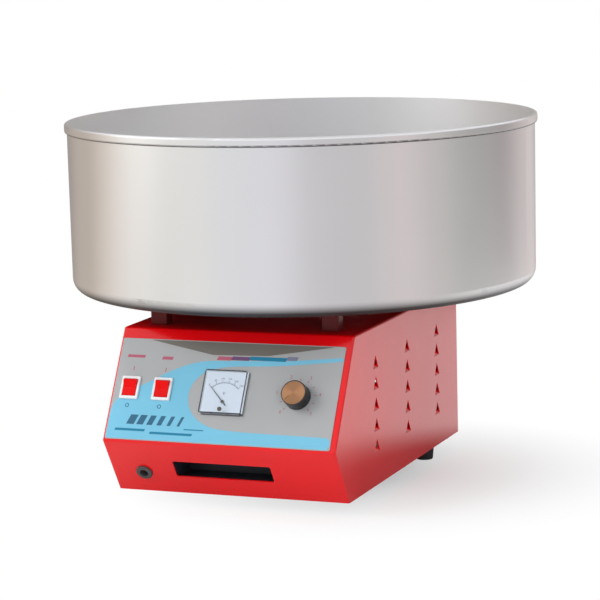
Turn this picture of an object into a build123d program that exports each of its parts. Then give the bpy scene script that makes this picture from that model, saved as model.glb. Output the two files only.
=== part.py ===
"""Electric candy floss machine: a spun aluminium bowl over a folded sheet-metal case.

Millimetres, +Z up. The origin is on the floor, under the spin axis of the bowl.
The control face looks towards -Y, and +X is to its right.
"""
import os
from math import atan2, cos, pi, radians, sin, tan

from build123d import *

os.makedirs("parts", exist_ok=True)

# Case, folded from sheet
sheet = 1.5
fold_radius = 3.0
side_fold_radius = 2.0
case_width = 260.0
case_height = 170.0
foot_height = 15.0
chin_height = 60.0  # from the bottom edge up to the nose
chin_setback = 38.0  # from the nose back to the bottom edge
face_setback = 64.0  # from the nose back to the top edge
nose_reach = 260.0  # from the spin axis forward to the nose
rear_reach = 144.0  # from the spin axis back to the rear panel
lip_width = 8.0
sheet_gap = 0.3  # between sheet pieces that are screwed together
fit = 0.05  # radial clearance of a shaft, pin or bush

# Side vents: lanced triangles with their flaps bent inward
vent_base = 17.0
vent_rise = 14.0
vent_rows = 5
vent_columns = 3
vent_row_pitch = 22.3
vent_column_pitch = 102.0
vent_centre_from_rear = 176.0
vent_centre_above_base = 87.5
vent_flap_angle = 32.0

# Control face
facia_left_margin = 2.5
facia_right_margin = 6.5
facia_height = 112.0
facia_thickness = 0.8
facia_corner = 2.0
facia_above_nose = 2.5
switches_from_left = (21.0, 57.7)
switch_above_nose = 59.3
meter_x = -1.0
meter_above_nose = 58.0
regulator_from_right = 50.0
regulator_above_nose = 58.0

# Rocker switches
bezel_width = 21.0
bezel_length = 25.0
bezel_height = 2.0
bezel_corner = 1.2
bezel_round = 0.7
switch_body_width = 19.0
switch_body_length = 22.0
switch_body_depth = 16.0
switch_cutout_gap = 0.2
rocker_pocket_width = 16.0
rocker_pocket_length = 19.0
rocker_pocket_depth = 6.4
rocker_side_gap = 0.3
rocker_height = 2.2  # centre of the V above the pivot
rocker_depth = 3.6
rocker_tilt = 8.0
rocker_round = 0.5
rocker_pin_radius = 1.4
rocker_pin_length = 1.2
blade_width = 6.3
blade_thickness = 0.8
blade_length = 8.0

# Panel meter
meter_size = 48.0
meter_corner = 2.0
meter_flange = 1.6
meter_cover_height = 5.4
meter_wall = 1.5
barrel_radius = 21.5
barrel_depth = 32.0
dial_width = 42.0
dial_height = 36.0
dial_thickness = 0.5
pivot_below_centre = 10.0
needle_length = 24.0
needle_width = 1.1
needle_thickness = 0.4
needle_lift = 0.9  # above the dial
needle_rest_angle = 45.0
magnet_radius = 9.4
magnet_bore = 7.6
core_radius = 5.0
coil_radius = 6.3
coil_section = 1.0
staff_radius = 0.6
zero_screw_radius = 2.3
zero_screw_head = 0.9
zero_screw_slot = 0.7
zero_screw_slot_depth = 0.5
zero_screw_below_centre = 19.3

# Heat regulator and its knob
regulator_radius = 19.0
regulator_depth = 24.0
regulator_round = 1.5
bushing_radius = 4.8
bushing_height = 4.6
nut_across_flats = 13.0
nut_thickness = 2.6
spindle_radius = 3.0
knob_radius = 14.0
knob_top_radius = 13.4
knob_height = 14.0
knob_lift = 0.6
knob_cavity_radius = 8.5
knob_cavity_height = 5.0
knob_flutes = 20
knob_flute_radius = 1.0
knob_flute_offset = 0.4  # flute centres outside the skirt
knob_disc_radius = 12.6
knob_disc_thickness = 1.6
knob_disc_chamfer = 0.4
knob_line_length = 6.3
knob_line_width = 1.2
knob_line_depth = 0.5
knob_line_radius = 8.3

# Recessed grip and cord inlet in the chin
grip_length = 110.0
grip_opening = 22.0
grip_corner = 2.0
grip_below_nose = 36.0
grip_centre_x = -2.0
grip_wall = 2.0
grip_depth = 40.0
inlet_from_left = 37.0
inlet_below_nose = 43.0
inlet_radius = 6.8
grommet_flange_radius = 8.8
grommet_flange_height = 2.4
grommet_bore = 4.6
grommet_round = 1.0

# Bowl and the posts that carry it
bowl_lift = 23.0  # bowl floor above the case top
bowl_depth = 185.0
bowl_sheet = 1.6
bowl_wall_radius = 257.2
bowl_taper = 0.6  # the wall leans out by this much
bowl_corner = 15.0
bowl_hole_radius = 86.0
bowl_collar_height = 9.0
bead_reach = 2.8
bead_height = 10.0
bead_round = 2.5
post_width = 19.0
post_depth = 16.0
post_corner = 2.0
post_from_side = 33.0
post_from_top_front = 24.0
post_from_rear = 26.0
post_pad = 2.0
stud_radius = 2.5
stud_stand = 5.0  # above the bowl floor
stud_hole_gap = 0.5

# Feet
foot_radius = 11.0
foot_tip_radius = 9.6
rear_foot_from_side = 14.0
rear_foot_from_rear = 82.0
front_foot_from_side = 48.0
front_foot_from_chin = 110.0

# Motor, hung under the top on rubber mounts
mount_height = 8.0
mount_radius = 8.0
motor_plate_thickness = 3.0
motor_plate_x = 134.0
motor_plate_y = 114.0
motor_plate_corner = 8.0
mount_x = 56.0
mount_y = 46.0
motor_radius = 52.0
motor_wall = 2.5
motor_length = 80.0
motor_end = 4.0
end_cover_height = 12.5
shaft_radius = 5.0
bearing_radius = 15.0
bearing_width = 9.0
boss_radius = 19.0
boss_drop = 12.5
core_length = 42.0
rotor_radius = 27.0
air_gap = 0.6
stator_slots = 12

# Slip rings and brushes under the motor
hub_radius = 10.0
hub_flange_radius = 12.0
hub_flange = 4.0
ring_radius = 14.0
ring_width = 7.0
ring_gap = 6.0
hub_drop = 8.0  # hub top below the motor
brush_size = 6.0
brush_reach = 26.0
holder_inset = 3.0  # holder face from the rings
holder_width = 18.0
spring_sheet = 0.5

# Spinner head
head_lift = 28.0  # head disc above the bowl floor
head_radius = 75.0
band_sheet = 1.0
head_disc = 5.0
band_height = 52.0
head_lid_thickness = 5.0
head_hub_radius = 12.0
head_hub_drop = 14.0
funnel_radius = 24.0
funnel_height = 9.0
funnel_wall = 2.0
band_slots = 40
band_slot_width = 1.6
band_slot_height = 30.0
head_post_radius = 4.0
head_post_circle = 59.0
head_posts = 4
element_folds = 36
element_sheet = 0.6
element_outer_radius = 70.0
element_height = 34.0
collar_radius = 30.0
collar_neck_radius = 14.0
collar_height = 15.0
collar_bore = 8.0
collar_sheet = 2.0

# Screws
screw_radius = 2.0
screw_head_radius = 3.6
screw_head_height = 2.2
screw_tail = 6.0
base_screw_inset = 30.0
rear_screw_inset = 28.0
nut_flats = 7.0
nut_height = 3.2
stud_nut_flats = 8.0
stud_nut_height = 4.0
stud_tail = 1.0  # thread that stands out of a nut
mount_screw_head_radius = 4.6


def spaced(first, last):
    """The first and last of three places, with their middle."""
    return (first, (first + last) / 2, last)


# Levels that follow
case_bottom = foot_height
nose_z = case_bottom + chin_height
case_top = case_bottom + case_height
under_top = case_top - sheet
base_top = case_bottom + sheet
nose_y = -nose_reach
chin_y = nose_y + chin_setback
top_front_y = nose_y + face_setback
bowl_floor = case_top + bowl_lift
rim_z = bowl_floor + bowl_depth
bowl_base_radius = bowl_wall_radius - bowl_taper

# Places that follow
case_half = case_width / 2
vent_centre_y = rear_reach - vent_centre_from_rear
facia_width = case_width - facia_left_margin - facia_right_margin
facia_centre_x = (facia_left_margin - facia_right_margin) / 2
switch_xs = [inset - case_half for inset in switches_from_left]
regulator_x = case_half - regulator_from_right
inlet_x = inlet_from_left - case_half
post_x = case_half - post_from_side
post_front_y = top_front_y + post_from_top_front
post_rear_y = rear_reach - post_from_rear
rear_foot_x = case_half - rear_foot_from_side
rear_foot_y = rear_reach - rear_foot_from_rear
front_foot_x = case_half - front_foot_from_side
front_foot_y = chin_y + front_foot_from_chin

lean = atan2(face_setback, case_height - chin_height)
tuck = atan2(chin_setback, chin_height)
face_plane = Plane(origin=(0, nose_y, nose_z), x_dir=(1, 0, 0), z_dir=(0, -cos(lean), sin(lean)))
chin_plane = Plane(origin=(0, nose_y, nose_z), x_dir=(1, 0, 0), z_dir=(0, -cos(tuck), -sin(tuck)))
facia_plane = face_plane.offset(facia_thickness)

inner_half = case_half - sheet
rear_lip_y = rear_reach - sheet  # the rear lips end where the rear panel starts
chin_inner_y = chin_y + sheet / cos(tuck)
lip_x = inner_half - lip_width / 2
base_screw_ys = spaced(chin_inner_y + base_screw_inset, rear_lip_y - base_screw_inset)
rear_screw_zs = spaced(base_top + rear_screw_inset, under_top - rear_screw_inset)
base_screw_points = [(side * lip_x, y) for side in (-1, 1) for y in base_screw_ys]
rear_screw_points = [(side * lip_x, z) for side in (-1, 1) for z in rear_screw_zs]
foot_points = {
    "foot_front_left": (-front_foot_x, front_foot_y),
    "foot_front_right": (front_foot_x, front_foot_y),
    "foot_rear_left": (-rear_foot_x, rear_foot_y),
    "foot_rear_right": (rear_foot_x, rear_foot_y),
}
post_points = {
    "post_front_left": (-post_x, post_front_y),
    "post_front_right": (post_x, post_front_y),
    "post_rear_left": (-post_x, post_rear_y),
    "post_rear_right": (post_x, post_rear_y),
}
mount_points = [(side * mount_x, end * mount_y) for side in (-1, 1) for end in (-1, 1)]


def on_plane(plane, x, y, height=0.0):
    """The plane moved to a point of its own, at a height above it."""
    return Plane(origin=plane.from_local_coords((x, y, height)), x_dir=plane.x_dir, z_dir=plane.z_dir)


def turned(plane, angle):
    """The plane turned about its own normal, in degrees."""
    turn = radians(angle)
    return Plane(
        origin=plane.origin,
        x_dir=plane.x_dir * cos(turn) + plane.y_dir * sin(turn),
        z_dir=plane.z_dir,
    )


def save(builder, label):
    """Name a finished piece and write it."""
    builder.part.label = label
    export_step(builder.part, f"parts/{label}.step")


# ---------------------------------------------------------------- case shell
case_corners = [
    (nose_y, nose_z),
    (top_front_y, case_top),
    (rear_reach, case_top),
    (rear_reach, case_bottom),
    (chin_y, case_bottom),
]
vent_tilt = radians(vent_flap_angle)

with BuildPart() as case_shell:
    with BuildSketch(Plane.YZ) as side_profile:
        with BuildLine():
            Polyline(case_corners, close=True)
        make_face()
        nose_and_top = side_profile.vertices().sort_by(Axis.Y)[2:]
        fillet([v for v in nose_and_top if v.X < rear_reach - 1], fold_radius)
    extrude(amount=case_half, both=True)
    rounded = [
        e
        for e in case_shell.faces().filter_by(Axis.X).edges()
        if e.center().Y < rear_reach - 1 and e.center().Z > case_bottom + 1
    ]
    fillet(rounded, side_fold_radius)
    # The inside runs on past the open bottom and rear
    with BuildSketch(Plane.YZ) as hollow_profile:
        with BuildLine():
            Polyline(
                (nose_y, nose_z),
                (top_front_y, case_top),
                (rear_reach + 2 * sheet, case_top),
                (rear_reach + 2 * sheet, case_bottom - 2 * sheet),
                (chin_y + 2 * sheet * tan(tuck), case_bottom - 2 * sheet),
                close=True,
            )
        make_face()
        offset(amount=-sheet, kind=Kind.INTERSECTION, mode=Mode.REPLACE)
        inner_folds = hollow_profile.vertices().sort_by(Axis.X)[:3].sort_by(Axis.Y)[1:]
        fillet(inner_folds, fold_radius - sheet)
    extrude(amount=inner_half, both=True, mode=Mode.SUBTRACT)
    # Lips that the base plate and the rear panel are screwed to
    with BuildSketch(Plane.XY.offset(base_top)):
        lip_length = rear_lip_y - chin_inner_y
        with Locations((0, chin_inner_y + lip_length / 2)):
            Rectangle(2 * inner_half, lip_length)
        with Locations((0, chin_inner_y + lip_width + lip_length / 2)):
            Rectangle(2 * (inner_half - lip_width), lip_length, mode=Mode.SUBTRACT)
    extrude(amount=sheet)
    with BuildSketch(Plane.XZ.offset(-rear_lip_y)):
        with Locations((0, (base_top + under_top) / 2)):
            Rectangle(2 * inner_half, under_top - base_top)
        with Locations((0, (base_top + under_top) / 2 - lip_width)):
            Rectangle(2 * (inner_half - lip_width), under_top - base_top, mode=Mode.SUBTRACT)
    extrude(amount=sheet)
    # Vents: the cut, then the flap that was bent out of it
    first_vent_z = case_bottom + vent_centre_above_base - vent_row_pitch * (vent_rows - 1) / 2
    first_vent_y = vent_centre_y - vent_column_pitch * (vent_columns - 1) / 2
    vent_ys = [first_vent_y + vent_column_pitch * column for column in range(vent_columns)]
    with BuildSketch(Plane.YZ.offset(-case_half - 1)):
        for row in range(vent_rows):
            base_z = first_vent_z + row * vent_row_pitch - vent_rise / 2
            for y in vent_ys:
                with BuildLine():
                    Polyline(
                        (y - vent_base / 2, base_z),
                        (y + vent_base / 2, base_z),
                        (y, base_z + vent_rise),
                        close=True,
                    )
                make_face()
    extrude(amount=case_width + 2, mode=Mode.SUBTRACT)
    for side in (-1, 1):
        for row in range(vent_rows):
            hinge_z = first_vent_z + row * vent_row_pitch - vent_rise / 2 - sheet / 2
            flap_plane = Plane(
                origin=(side * inner_half, 0, hinge_z),
                x_dir=(0, 1, 0),
                z_dir=(side * cos(vent_tilt), 0, sin(vent_tilt)),
            )
            up = 1 if flap_plane.y_dir.Z > 0 else -1
            with BuildSketch(flap_plane):
                for y in vent_ys:
                    with BuildLine():
                        Polyline(
                            (y - vent_base / 2, 0),
                            (y + vent_base / 2, 0),
                            (y, up * vent_rise),
                            close=True,
                        )
                    make_face()
            extrude(amount=sheet)
    # Control face
    with BuildSketch(face_plane):
        for x in switch_xs:
            with Locations((x, switch_above_nose)):
                Rectangle(
                    switch_body_width + 2 * switch_cutout_gap,
                    switch_body_length + 2 * switch_cutout_gap,
                )
        with Locations((meter_x, meter_above_nose)):
            Circle(barrel_radius + switch_cutout_gap)
        with Locations((regulator_x, regulator_above_nose)):
            Circle(bushing_radius + switch_cutout_gap)
    extrude(amount=-2 * sheet, mode=Mode.SUBTRACT)
    # Chin
    with BuildSketch(chin_plane):
        with Locations((grip_centre_x, -grip_below_nose)):
            RectangleRounded(grip_length, grip_opening, grip_corner)
        with Locations((inlet_x, -inlet_below_nose)):
            Circle(inlet_radius + sheet_gap)
    extrude(amount=-2 * sheet, mode=Mode.SUBTRACT)
    # Top: shaft, motor mounts and bowl posts
    with BuildSketch(Plane.XY.offset(case_top)):
        Circle(collar_neck_radius)
        with Locations(*mount_points, *post_points.values()):
            Circle(stud_radius + fit)
    extrude(amount=-2 * sheet, mode=Mode.SUBTRACT)
    # Screw holes in the lips
    with BuildSketch(Plane.XY.offset(base_top)):
        with Locations(*base_screw_points):
            Circle(screw_radius + fit)
    extrude(amount=sheet, mode=Mode.SUBTRACT)
    with BuildSketch(Plane.XZ.offset(-rear_lip_y)):
        with Locations(*rear_screw_points):
            Circle(screw_radius + fit)
    extrude(amount=sheet, mode=Mode.SUBTRACT)
save(case_shell, "case_shell")

# ------------------------------------------------------- base and rear panels
plate_front = chin_inner_y + sheet_gap
plate_back = rear_lip_y - sheet_gap
base_slot_length = 70.0
base_slot_width = 6.0
base_slots = 6
rear_slot_length = 110.0
rear_slot_width = 5.0
rear_slots = 7
slot_pitch = 14.0

with BuildPart() as base_plate:
    with BuildSketch(Plane.XY.offset(case_bottom)):
        with Locations((0, (plate_front + plate_back) / 2)):
            Rectangle(2 * (inner_half - sheet_gap), plate_back - plate_front)
        with Locations(*base_screw_points, *foot_points.values()):
            Circle(screw_radius + fit, mode=Mode.SUBTRACT)
        with GridLocations(0, slot_pitch, 1, base_slots):
            SlotOverall(base_slot_length, base_slot_width, mode=Mode.SUBTRACT)
    extrude(amount=sheet)
save(base_plate, "base_plate")

with BuildPart() as rear_panel:
    panel_top = under_top - sheet_gap
    with BuildSketch(Plane.XZ.offset(-rear_reach)):
        with Locations((0, (case_bottom + panel_top) / 2)):
            Rectangle(2 * (inner_half - sheet_gap), panel_top - case_bottom)
            with GridLocations(0, slot_pitch, 1, rear_slots):
                SlotOverall(rear_slot_length, rear_slot_width, mode=Mode.SUBTRACT)
        with Locations(*rear_screw_points):
            Circle(screw_radius + fit, mode=Mode.SUBTRACT)
    extrude(amount=sheet)
save(rear_panel, "rear_panel")

with BuildPart() as base_screws:
    with BuildSketch(Plane.XY.offset(case_bottom)):
        with Locations(*base_screw_points):
            Circle(screw_head_radius)
    extrude(amount=-screw_head_height)
    fillet(base_screws.edges().group_by(Axis.Z)[0], screw_head_height / 2)
    with BuildSketch(Plane.XY.offset(case_bottom)):
        with Locations(*base_screw_points):
            Circle(screw_radius)
    extrude(amount=screw_tail)
save(base_screws, "base_screws")

with BuildPart() as rear_screws:
    with BuildSketch(Plane.XZ.offset(-rear_reach)):
        with Locations(*rear_screw_points):
            Circle(screw_head_radius)
    extrude(amount=-screw_head_height)
    fillet(rear_screws.edges().group_by(Axis.Y)[-1], screw_head_height / 2)
    with BuildSketch(Plane.XZ.offset(-rear_reach)):
        with Locations(*rear_screw_points):
            Circle(screw_radius)
    extrude(amount=screw_tail)
save(rear_screws, "rear_screws")

# ------------------------------------------------------------------------ feet
foot_recess_radius = 5.5
foot_recess = 9.0
foot_edge = 1.2

for name, (foot_x, foot_y) in foot_points.items():
    with BuildPart() as foot:
        with BuildSketch(Plane((foot_x, foot_y, 0), x_dir=(1, 0, 0), z_dir=(0, -1, 0))):
            with BuildLine():
                Polyline(
                    (foot_recess_radius, 0),
                    (foot_tip_radius, 0),
                    (foot_radius, foot_height),
                    (screw_radius + fit, foot_height),
                    (screw_radius + fit, foot_recess),
                    (foot_recess_radius, foot_recess),
                    close=True,
                )
            make_face()
        revolve(axis=Axis((foot_x, foot_y, 0), (0, 0, 1)))
        fillet(foot.edges().group_by(Axis.Z)[0].sort_by(SortBy.RADIUS)[-1], foot_edge)
    save(foot, name)

with BuildPart() as foot_screws:
    with BuildSketch(Plane.XY.offset(foot_recess)):
        with Locations(*foot_points.values()):
            Circle(screw_head_radius)
    extrude(amount=-screw_head_height)
    with BuildSketch(Plane.XY.offset(foot_recess)):
        with Locations(*foot_points.values()):
            Circle(screw_radius)
    extrude(amount=base_top + nut_height + stud_tail - foot_recess)
    with BuildSketch(Plane.XY.offset(base_top)):
        with Locations(*foot_points.values()):
            RegularPolygon(nut_flats / 2, 6, major_radius=False)
    extrude(amount=nut_height)
save(foot_screws, "foot_screws")

# ---------------------------------------------------------------- facia plate
with BuildPart() as facia_plate:
    with BuildSketch(face_plane):
        with Locations((facia_centre_x, facia_above_nose + facia_height / 2)):
            RectangleRounded(facia_width, facia_height, facia_corner)
        for x in switch_xs:
            with Locations((x, switch_above_nose)):
                Rectangle(
                    switch_body_width + 2 * switch_cutout_gap,
                    switch_body_length + 2 * switch_cutout_gap,
                    mode=Mode.SUBTRACT,
                )
        with Locations((meter_x, meter_above_nose)):
            Circle(barrel_radius + switch_cutout_gap, mode=Mode.SUBTRACT)
        with Locations((regulator_x, regulator_above_nose)):
            Circle(bushing_radius + switch_cutout_gap, mode=Mode.SUBTRACT)
    extrude(amount=facia_thickness)
save(facia_plate, "facia_plate")

# ------------------------------------------------------------ rocker switches
rocker_end_radius = rocker_pocket_length / 2 - rocker_side_gap
facet_slope = tan(radians(rocker_tilt))
facet_square = 1 + facet_slope**2
facet_linear = rocker_height * facet_slope
facet_reach = (
    (facet_linear**2 - facet_square * (rocker_height**2 - rocker_end_radius**2)) ** 0.5 - facet_linear
) / facet_square
facet_rise = rocker_height + facet_reach * facet_slope
rocker_foot = (rocker_end_radius**2 - rocker_depth**2) ** 0.5

for name, switch_x in zip(("power", "heat"), switch_xs):
    switch_plane = on_plane(facia_plane, switch_x, switch_above_nose)
    pivot_plane = Plane(switch_plane.origin, x_dir=switch_plane.y_dir, z_dir=switch_plane.x_dir)
    with BuildPart() as switch_body:
        with BuildSketch(switch_plane):
            RectangleRounded(bezel_width, bezel_length, bezel_corner)
        extrude(amount=bezel_height)
        bezel_rim = switch_body.faces().sort_by(Axis(switch_plane.origin, switch_plane.z_dir))[-1]
        fillet(bezel_rim.edges(), bezel_round)
        with BuildSketch(switch_plane):
            Rectangle(switch_body_width, switch_body_length)
        extrude(amount=-switch_body_depth)
        with BuildSketch(switch_plane.offset(bezel_height)):
            Rectangle(rocker_pocket_width, rocker_pocket_length)
        extrude(amount=-(bezel_height + rocker_pocket_depth), mode=Mode.SUBTRACT)
        with BuildSketch(pivot_plane):
            Circle(rocker_pin_radius + fit)
        extrude(amount=switch_body_width / 2, both=True, mode=Mode.SUBTRACT)
        with BuildSketch(switch_plane.offset(-switch_body_depth)):
            with GridLocations(0, switch_body_length / 2, 1, 2):
                Rectangle(blade_width, blade_thickness)
        extrude(amount=-blade_length)
    save(switch_body, f"{name}_switch_body")

    rocker_plane = turned(pivot_plane, rocker_tilt)
    with BuildPart() as rocker:
        with BuildSketch(rocker_plane):
            with BuildLine():
                Polyline((-facet_reach, facet_rise), (0, rocker_height), (facet_reach, facet_rise))
                ThreePointArc(
                    (facet_reach, facet_rise), (rocker_end_radius, 0), (rocker_foot, -rocker_depth)
                )
                Line((rocker_foot, -rocker_depth), (-rocker_foot, -rocker_depth))
                ThreePointArc(
                    (-rocker_foot, -rocker_depth), (-rocker_end_radius, 0), (-facet_reach, facet_rise)
                )
            make_face()
        extrude(amount=rocker_pocket_width / 2 - rocker_side_gap, both=True)
        top_edges = [
            e
            for e in rocker.edges()
            if rocker_plane.to_local_coords(e.center()).Y > rocker_height + 0.2
        ]
        fillet(top_edges, rocker_round)
        with BuildSketch(rocker_plane):
            Circle(rocker_pin_radius)
        extrude(amount=rocker_pocket_width / 2 + rocker_pin_length, both=True)
    save(rocker, f"{name}_rocker")

# ---------------------------------------------------------------- panel meter
meter_plane = on_plane(facia_plane, meter_x, meter_above_nose)
meter_axis = Axis(meter_plane.origin, meter_plane.z_dir)
movement_plane = on_plane(meter_plane, 0, -pivot_below_centre)
needle_plane = turned(movement_plane, needle_rest_angle)
barrel_floor = -barrel_depth + 2.0
cover_top = meter_flange + meter_cover_height
magnet_length = 22.0
core_clearance = 6.0  # under the core, for the coil's lower bar
coil_gap = 1.0  # between the coil's bars and the core's ends
stud_length = 9.0
needle_z = meter_flange + dial_thickness + needle_lift

with BuildPart() as meter_body:
    with BuildSketch(meter_plane):
        RectangleRounded(meter_size, meter_size, meter_corner)
    extrude(amount=meter_flange)
    with BuildSketch(meter_plane):
        Circle(barrel_radius)
    extrude(amount=-barrel_depth)
    with BuildSketch(meter_plane.offset(meter_flange)):
        Circle(barrel_radius - meter_wall)
    extrude(amount=barrel_floor - meter_flange, mode=Mode.SUBTRACT)
    with BuildSketch(meter_plane.offset(-barrel_depth)):
        with GridLocations(barrel_radius, 0, 2, 1):
            Circle(screw_radius)
    extrude(amount=-stud_length)
save(meter_body, "meter_body")

with BuildPart() as meter_dial:
    with BuildSketch(meter_plane.offset(meter_flange)):
        Rectangle(dial_width, dial_height)
        with Locations((0, -pivot_below_centre)):
            Circle(2 * staff_radius, mode=Mode.SUBTRACT)
    extrude(amount=dial_thickness)
save(meter_dial, "meter_dial")

with BuildPart() as meter_magnet:
    with BuildSketch(movement_plane.offset(barrel_floor)):
        Circle(magnet_radius)
        Circle(magnet_bore, mode=Mode.SUBTRACT)
    extrude(amount=magnet_length)
    with BuildSketch(movement_plane.offset(barrel_floor + core_clearance)):
        Circle(core_radius)
        Rectangle(2 * staff_radius, magnet_bore + magnet_radius)
    extrude(amount=magnet_length - core_clearance)
save(meter_magnet, "meter_magnet")

core_bottom = barrel_floor + core_clearance
core_top = barrel_floor + magnet_length
coil_bottom = core_bottom - coil_gap - coil_section
coil_top = core_top + coil_gap + coil_section
coil_plane = Plane(needle_plane.origin, x_dir=needle_plane.x_dir, z_dir=-needle_plane.y_dir)
with BuildPart() as meter_needle:
    with BuildSketch(needle_plane.offset(needle_z)):
        with BuildLine():
            Polyline(
                (-needle_width / 2, -needle_length / 4),
                (needle_width / 2, -needle_length / 4),
                (needle_width / 6, needle_length),
                (-needle_width / 6, needle_length),
                close=True,
            )
        make_face()
        Circle(3 * staff_radius)
    extrude(amount=needle_thickness)
    with BuildSketch(needle_plane.offset(coil_top)):
        Circle(staff_radius)
    extrude(amount=needle_z + 2 * needle_thickness - coil_top)
    with BuildSketch(coil_plane):
        with Locations((0, (coil_bottom + coil_top) / 2)):
            Rectangle(2 * coil_radius + coil_section, coil_top - coil_bottom)
            Rectangle(
                2 * coil_radius - coil_section,
                coil_top - coil_bottom - 2 * coil_section,
                mode=Mode.SUBTRACT,
            )
    extrude(amount=coil_section, both=True)
    with BuildSketch(needle_plane.offset(coil_bottom)):
        Circle(staff_radius)
    extrude(amount=barrel_floor + sheet_gap - coil_bottom)
save(meter_needle, "meter_needle")

with BuildPart() as meter_cover:
    with BuildSketch(meter_plane.offset(meter_flange)):
        RectangleRounded(meter_size, meter_size, meter_corner)
    extrude(amount=meter_cover_height)
    fillet(meter_cover.faces().sort_by(meter_axis)[-1].edges(), meter_wall / 2)
    with BuildSketch(meter_plane.offset(meter_flange)):
        Rectangle(meter_size - 2 * meter_wall, meter_size - 2 * meter_wall)
    extrude(amount=meter_cover_height - meter_wall, mode=Mode.SUBTRACT)
    with BuildSketch(meter_plane.offset(cover_top)):
        with Locations((0, -zero_screw_below_centre)):
            Circle(zero_screw_radius / 2 + fit)
    extrude(amount=-2 * meter_wall, mode=Mode.SUBTRACT)
save(meter_cover, "meter_cover")

zero_plane = on_plane(meter_plane, 0, -zero_screw_below_centre, cover_top)
with BuildPart() as meter_zero_screw:
    with BuildSketch(zero_plane):
        Circle(zero_screw_radius)
    extrude(amount=zero_screw_head)
    with BuildSketch(zero_plane.offset(zero_screw_head)):
        Rectangle(2 * zero_screw_radius, zero_screw_slot)
    extrude(amount=-zero_screw_slot_depth, mode=Mode.SUBTRACT)
    with BuildSketch(zero_plane):
        Circle(zero_screw_radius / 2)
    extrude(amount=-meter_wall - zero_screw_slot_depth)
save(meter_zero_screw, "meter_zero_screw")

# ------------------------------------------------------- regulator and knob
regulator_plane = on_plane(facia_plane, regulator_x, regulator_above_nose)
regulator_axis = Axis(regulator_plane.origin, regulator_plane.z_dir)
knob_profile_plane = Plane(
    regulator_plane.origin, x_dir=regulator_plane.x_dir, z_dir=-regulator_plane.y_dir
)
panel_stack = facia_thickness + sheet
spindle_bottom = -panel_stack - 0.75 * regulator_depth
knob_top = knob_lift + knob_height
disc_seat = knob_top - 0.75 * knob_disc_thickness
spindle_cover = 1.0  # knob left over the spindle's end
spindle_top = disc_seat - spindle_cover
knob_pointer_angle = 135.0

with BuildPart() as regulator_body:
    with BuildSketch(regulator_plane.offset(-panel_stack)):
        Circle(regulator_radius)
    extrude(amount=-regulator_depth)
    fillet(regulator_body.edges().sort_by(regulator_axis)[0], regulator_round)
    with BuildSketch(regulator_plane.offset(-panel_stack)):
        Circle(bushing_radius)
    extrude(amount=panel_stack + bushing_height)
    with BuildSketch(regulator_plane.offset(bushing_height)):
        Circle(spindle_radius + fit)
    extrude(amount=spindle_bottom - bushing_height - fit, mode=Mode.SUBTRACT)
    with BuildSketch(regulator_plane.offset(-panel_stack - regulator_depth)):
        with GridLocations(blade_width * 1.5, 0, 3, 1):
            Rectangle(blade_thickness, blade_width)
    extrude(amount=-blade_length)
save(regulator_body, "regulator_body")

with BuildPart() as regulator_nut:
    with BuildSketch(regulator_plane):
        RegularPolygon(nut_across_flats / 2, 6, major_radius=False)
        Circle(bushing_radius + fit, mode=Mode.SUBTRACT)
    extrude(amount=nut_thickness)
save(regulator_nut, "regulator_nut")

with BuildPart() as regulator_spindle:
    with BuildSketch(regulator_plane.offset(spindle_bottom)):
        Circle(spindle_radius)
    extrude(amount=spindle_top - spindle_bottom)
save(regulator_spindle, "regulator_spindle")

with BuildPart() as regulator_knob:
    with BuildSketch(knob_profile_plane):
        with BuildLine():
            Polyline(
                (0, spindle_top + fit),
                (spindle_radius + fit, spindle_top + fit),
                (spindle_radius + fit, knob_lift + knob_cavity_height),
                (knob_cavity_radius, knob_lift + knob_cavity_height),
                (knob_cavity_radius, knob_lift),
                (knob_radius, knob_lift),
                (knob_top_radius, knob_top),
                (knob_disc_radius + fit, knob_top),
                (knob_disc_radius + fit, disc_seat),
                (0, disc_seat),
                close=True,
            )
        make_face()
    revolve(axis=regulator_axis)
    with BuildSketch(regulator_plane.offset(knob_lift + knob_height / 6)):
        with PolarLocations(knob_radius + knob_flute_offset, knob_flutes):
            Circle(knob_flute_radius)
    extrude(amount=knob_height, mode=Mode.SUBTRACT)
save(regulator_knob, "regulator_knob")

with BuildPart() as knob_cap:
    with BuildSketch(regulator_plane.offset(disc_seat)):
        Circle(knob_disc_radius)
    extrude(amount=knob_disc_thickness)
    chamfer(knob_cap.faces().sort_by(regulator_axis)[-1].edges(), knob_disc_chamfer)
    pointer_plane = turned(regulator_plane, knob_pointer_angle)
    with BuildSketch(pointer_plane.offset(disc_seat + knob_disc_thickness)):
        with Locations((0, knob_line_radius)):
            SlotOverall(knob_line_length, knob_line_width, rotation=90)
    extrude(amount=-knob_line_depth, mode=Mode.SUBTRACT)
save(knob_cap, "knob_cap")

# -------------------------------------------------- recessed grip, cord inlet
slot_top_z = nose_z - (grip_below_nose - grip_opening / 2) * cos(tuck)
slot_bottom_z = nose_z - (grip_below_nose + grip_opening / 2) * cos(tuck)
slot_mid_z = (slot_top_z + slot_bottom_z) / 2
slot_mid_y = nose_y + grip_below_nose * sin(tuck)
grip_back_y = slot_mid_y + grip_depth
grip_flange = 8.0
grip_flange_corner = 4.0
behind_chin = chin_plane.offset(-sheet)

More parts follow.
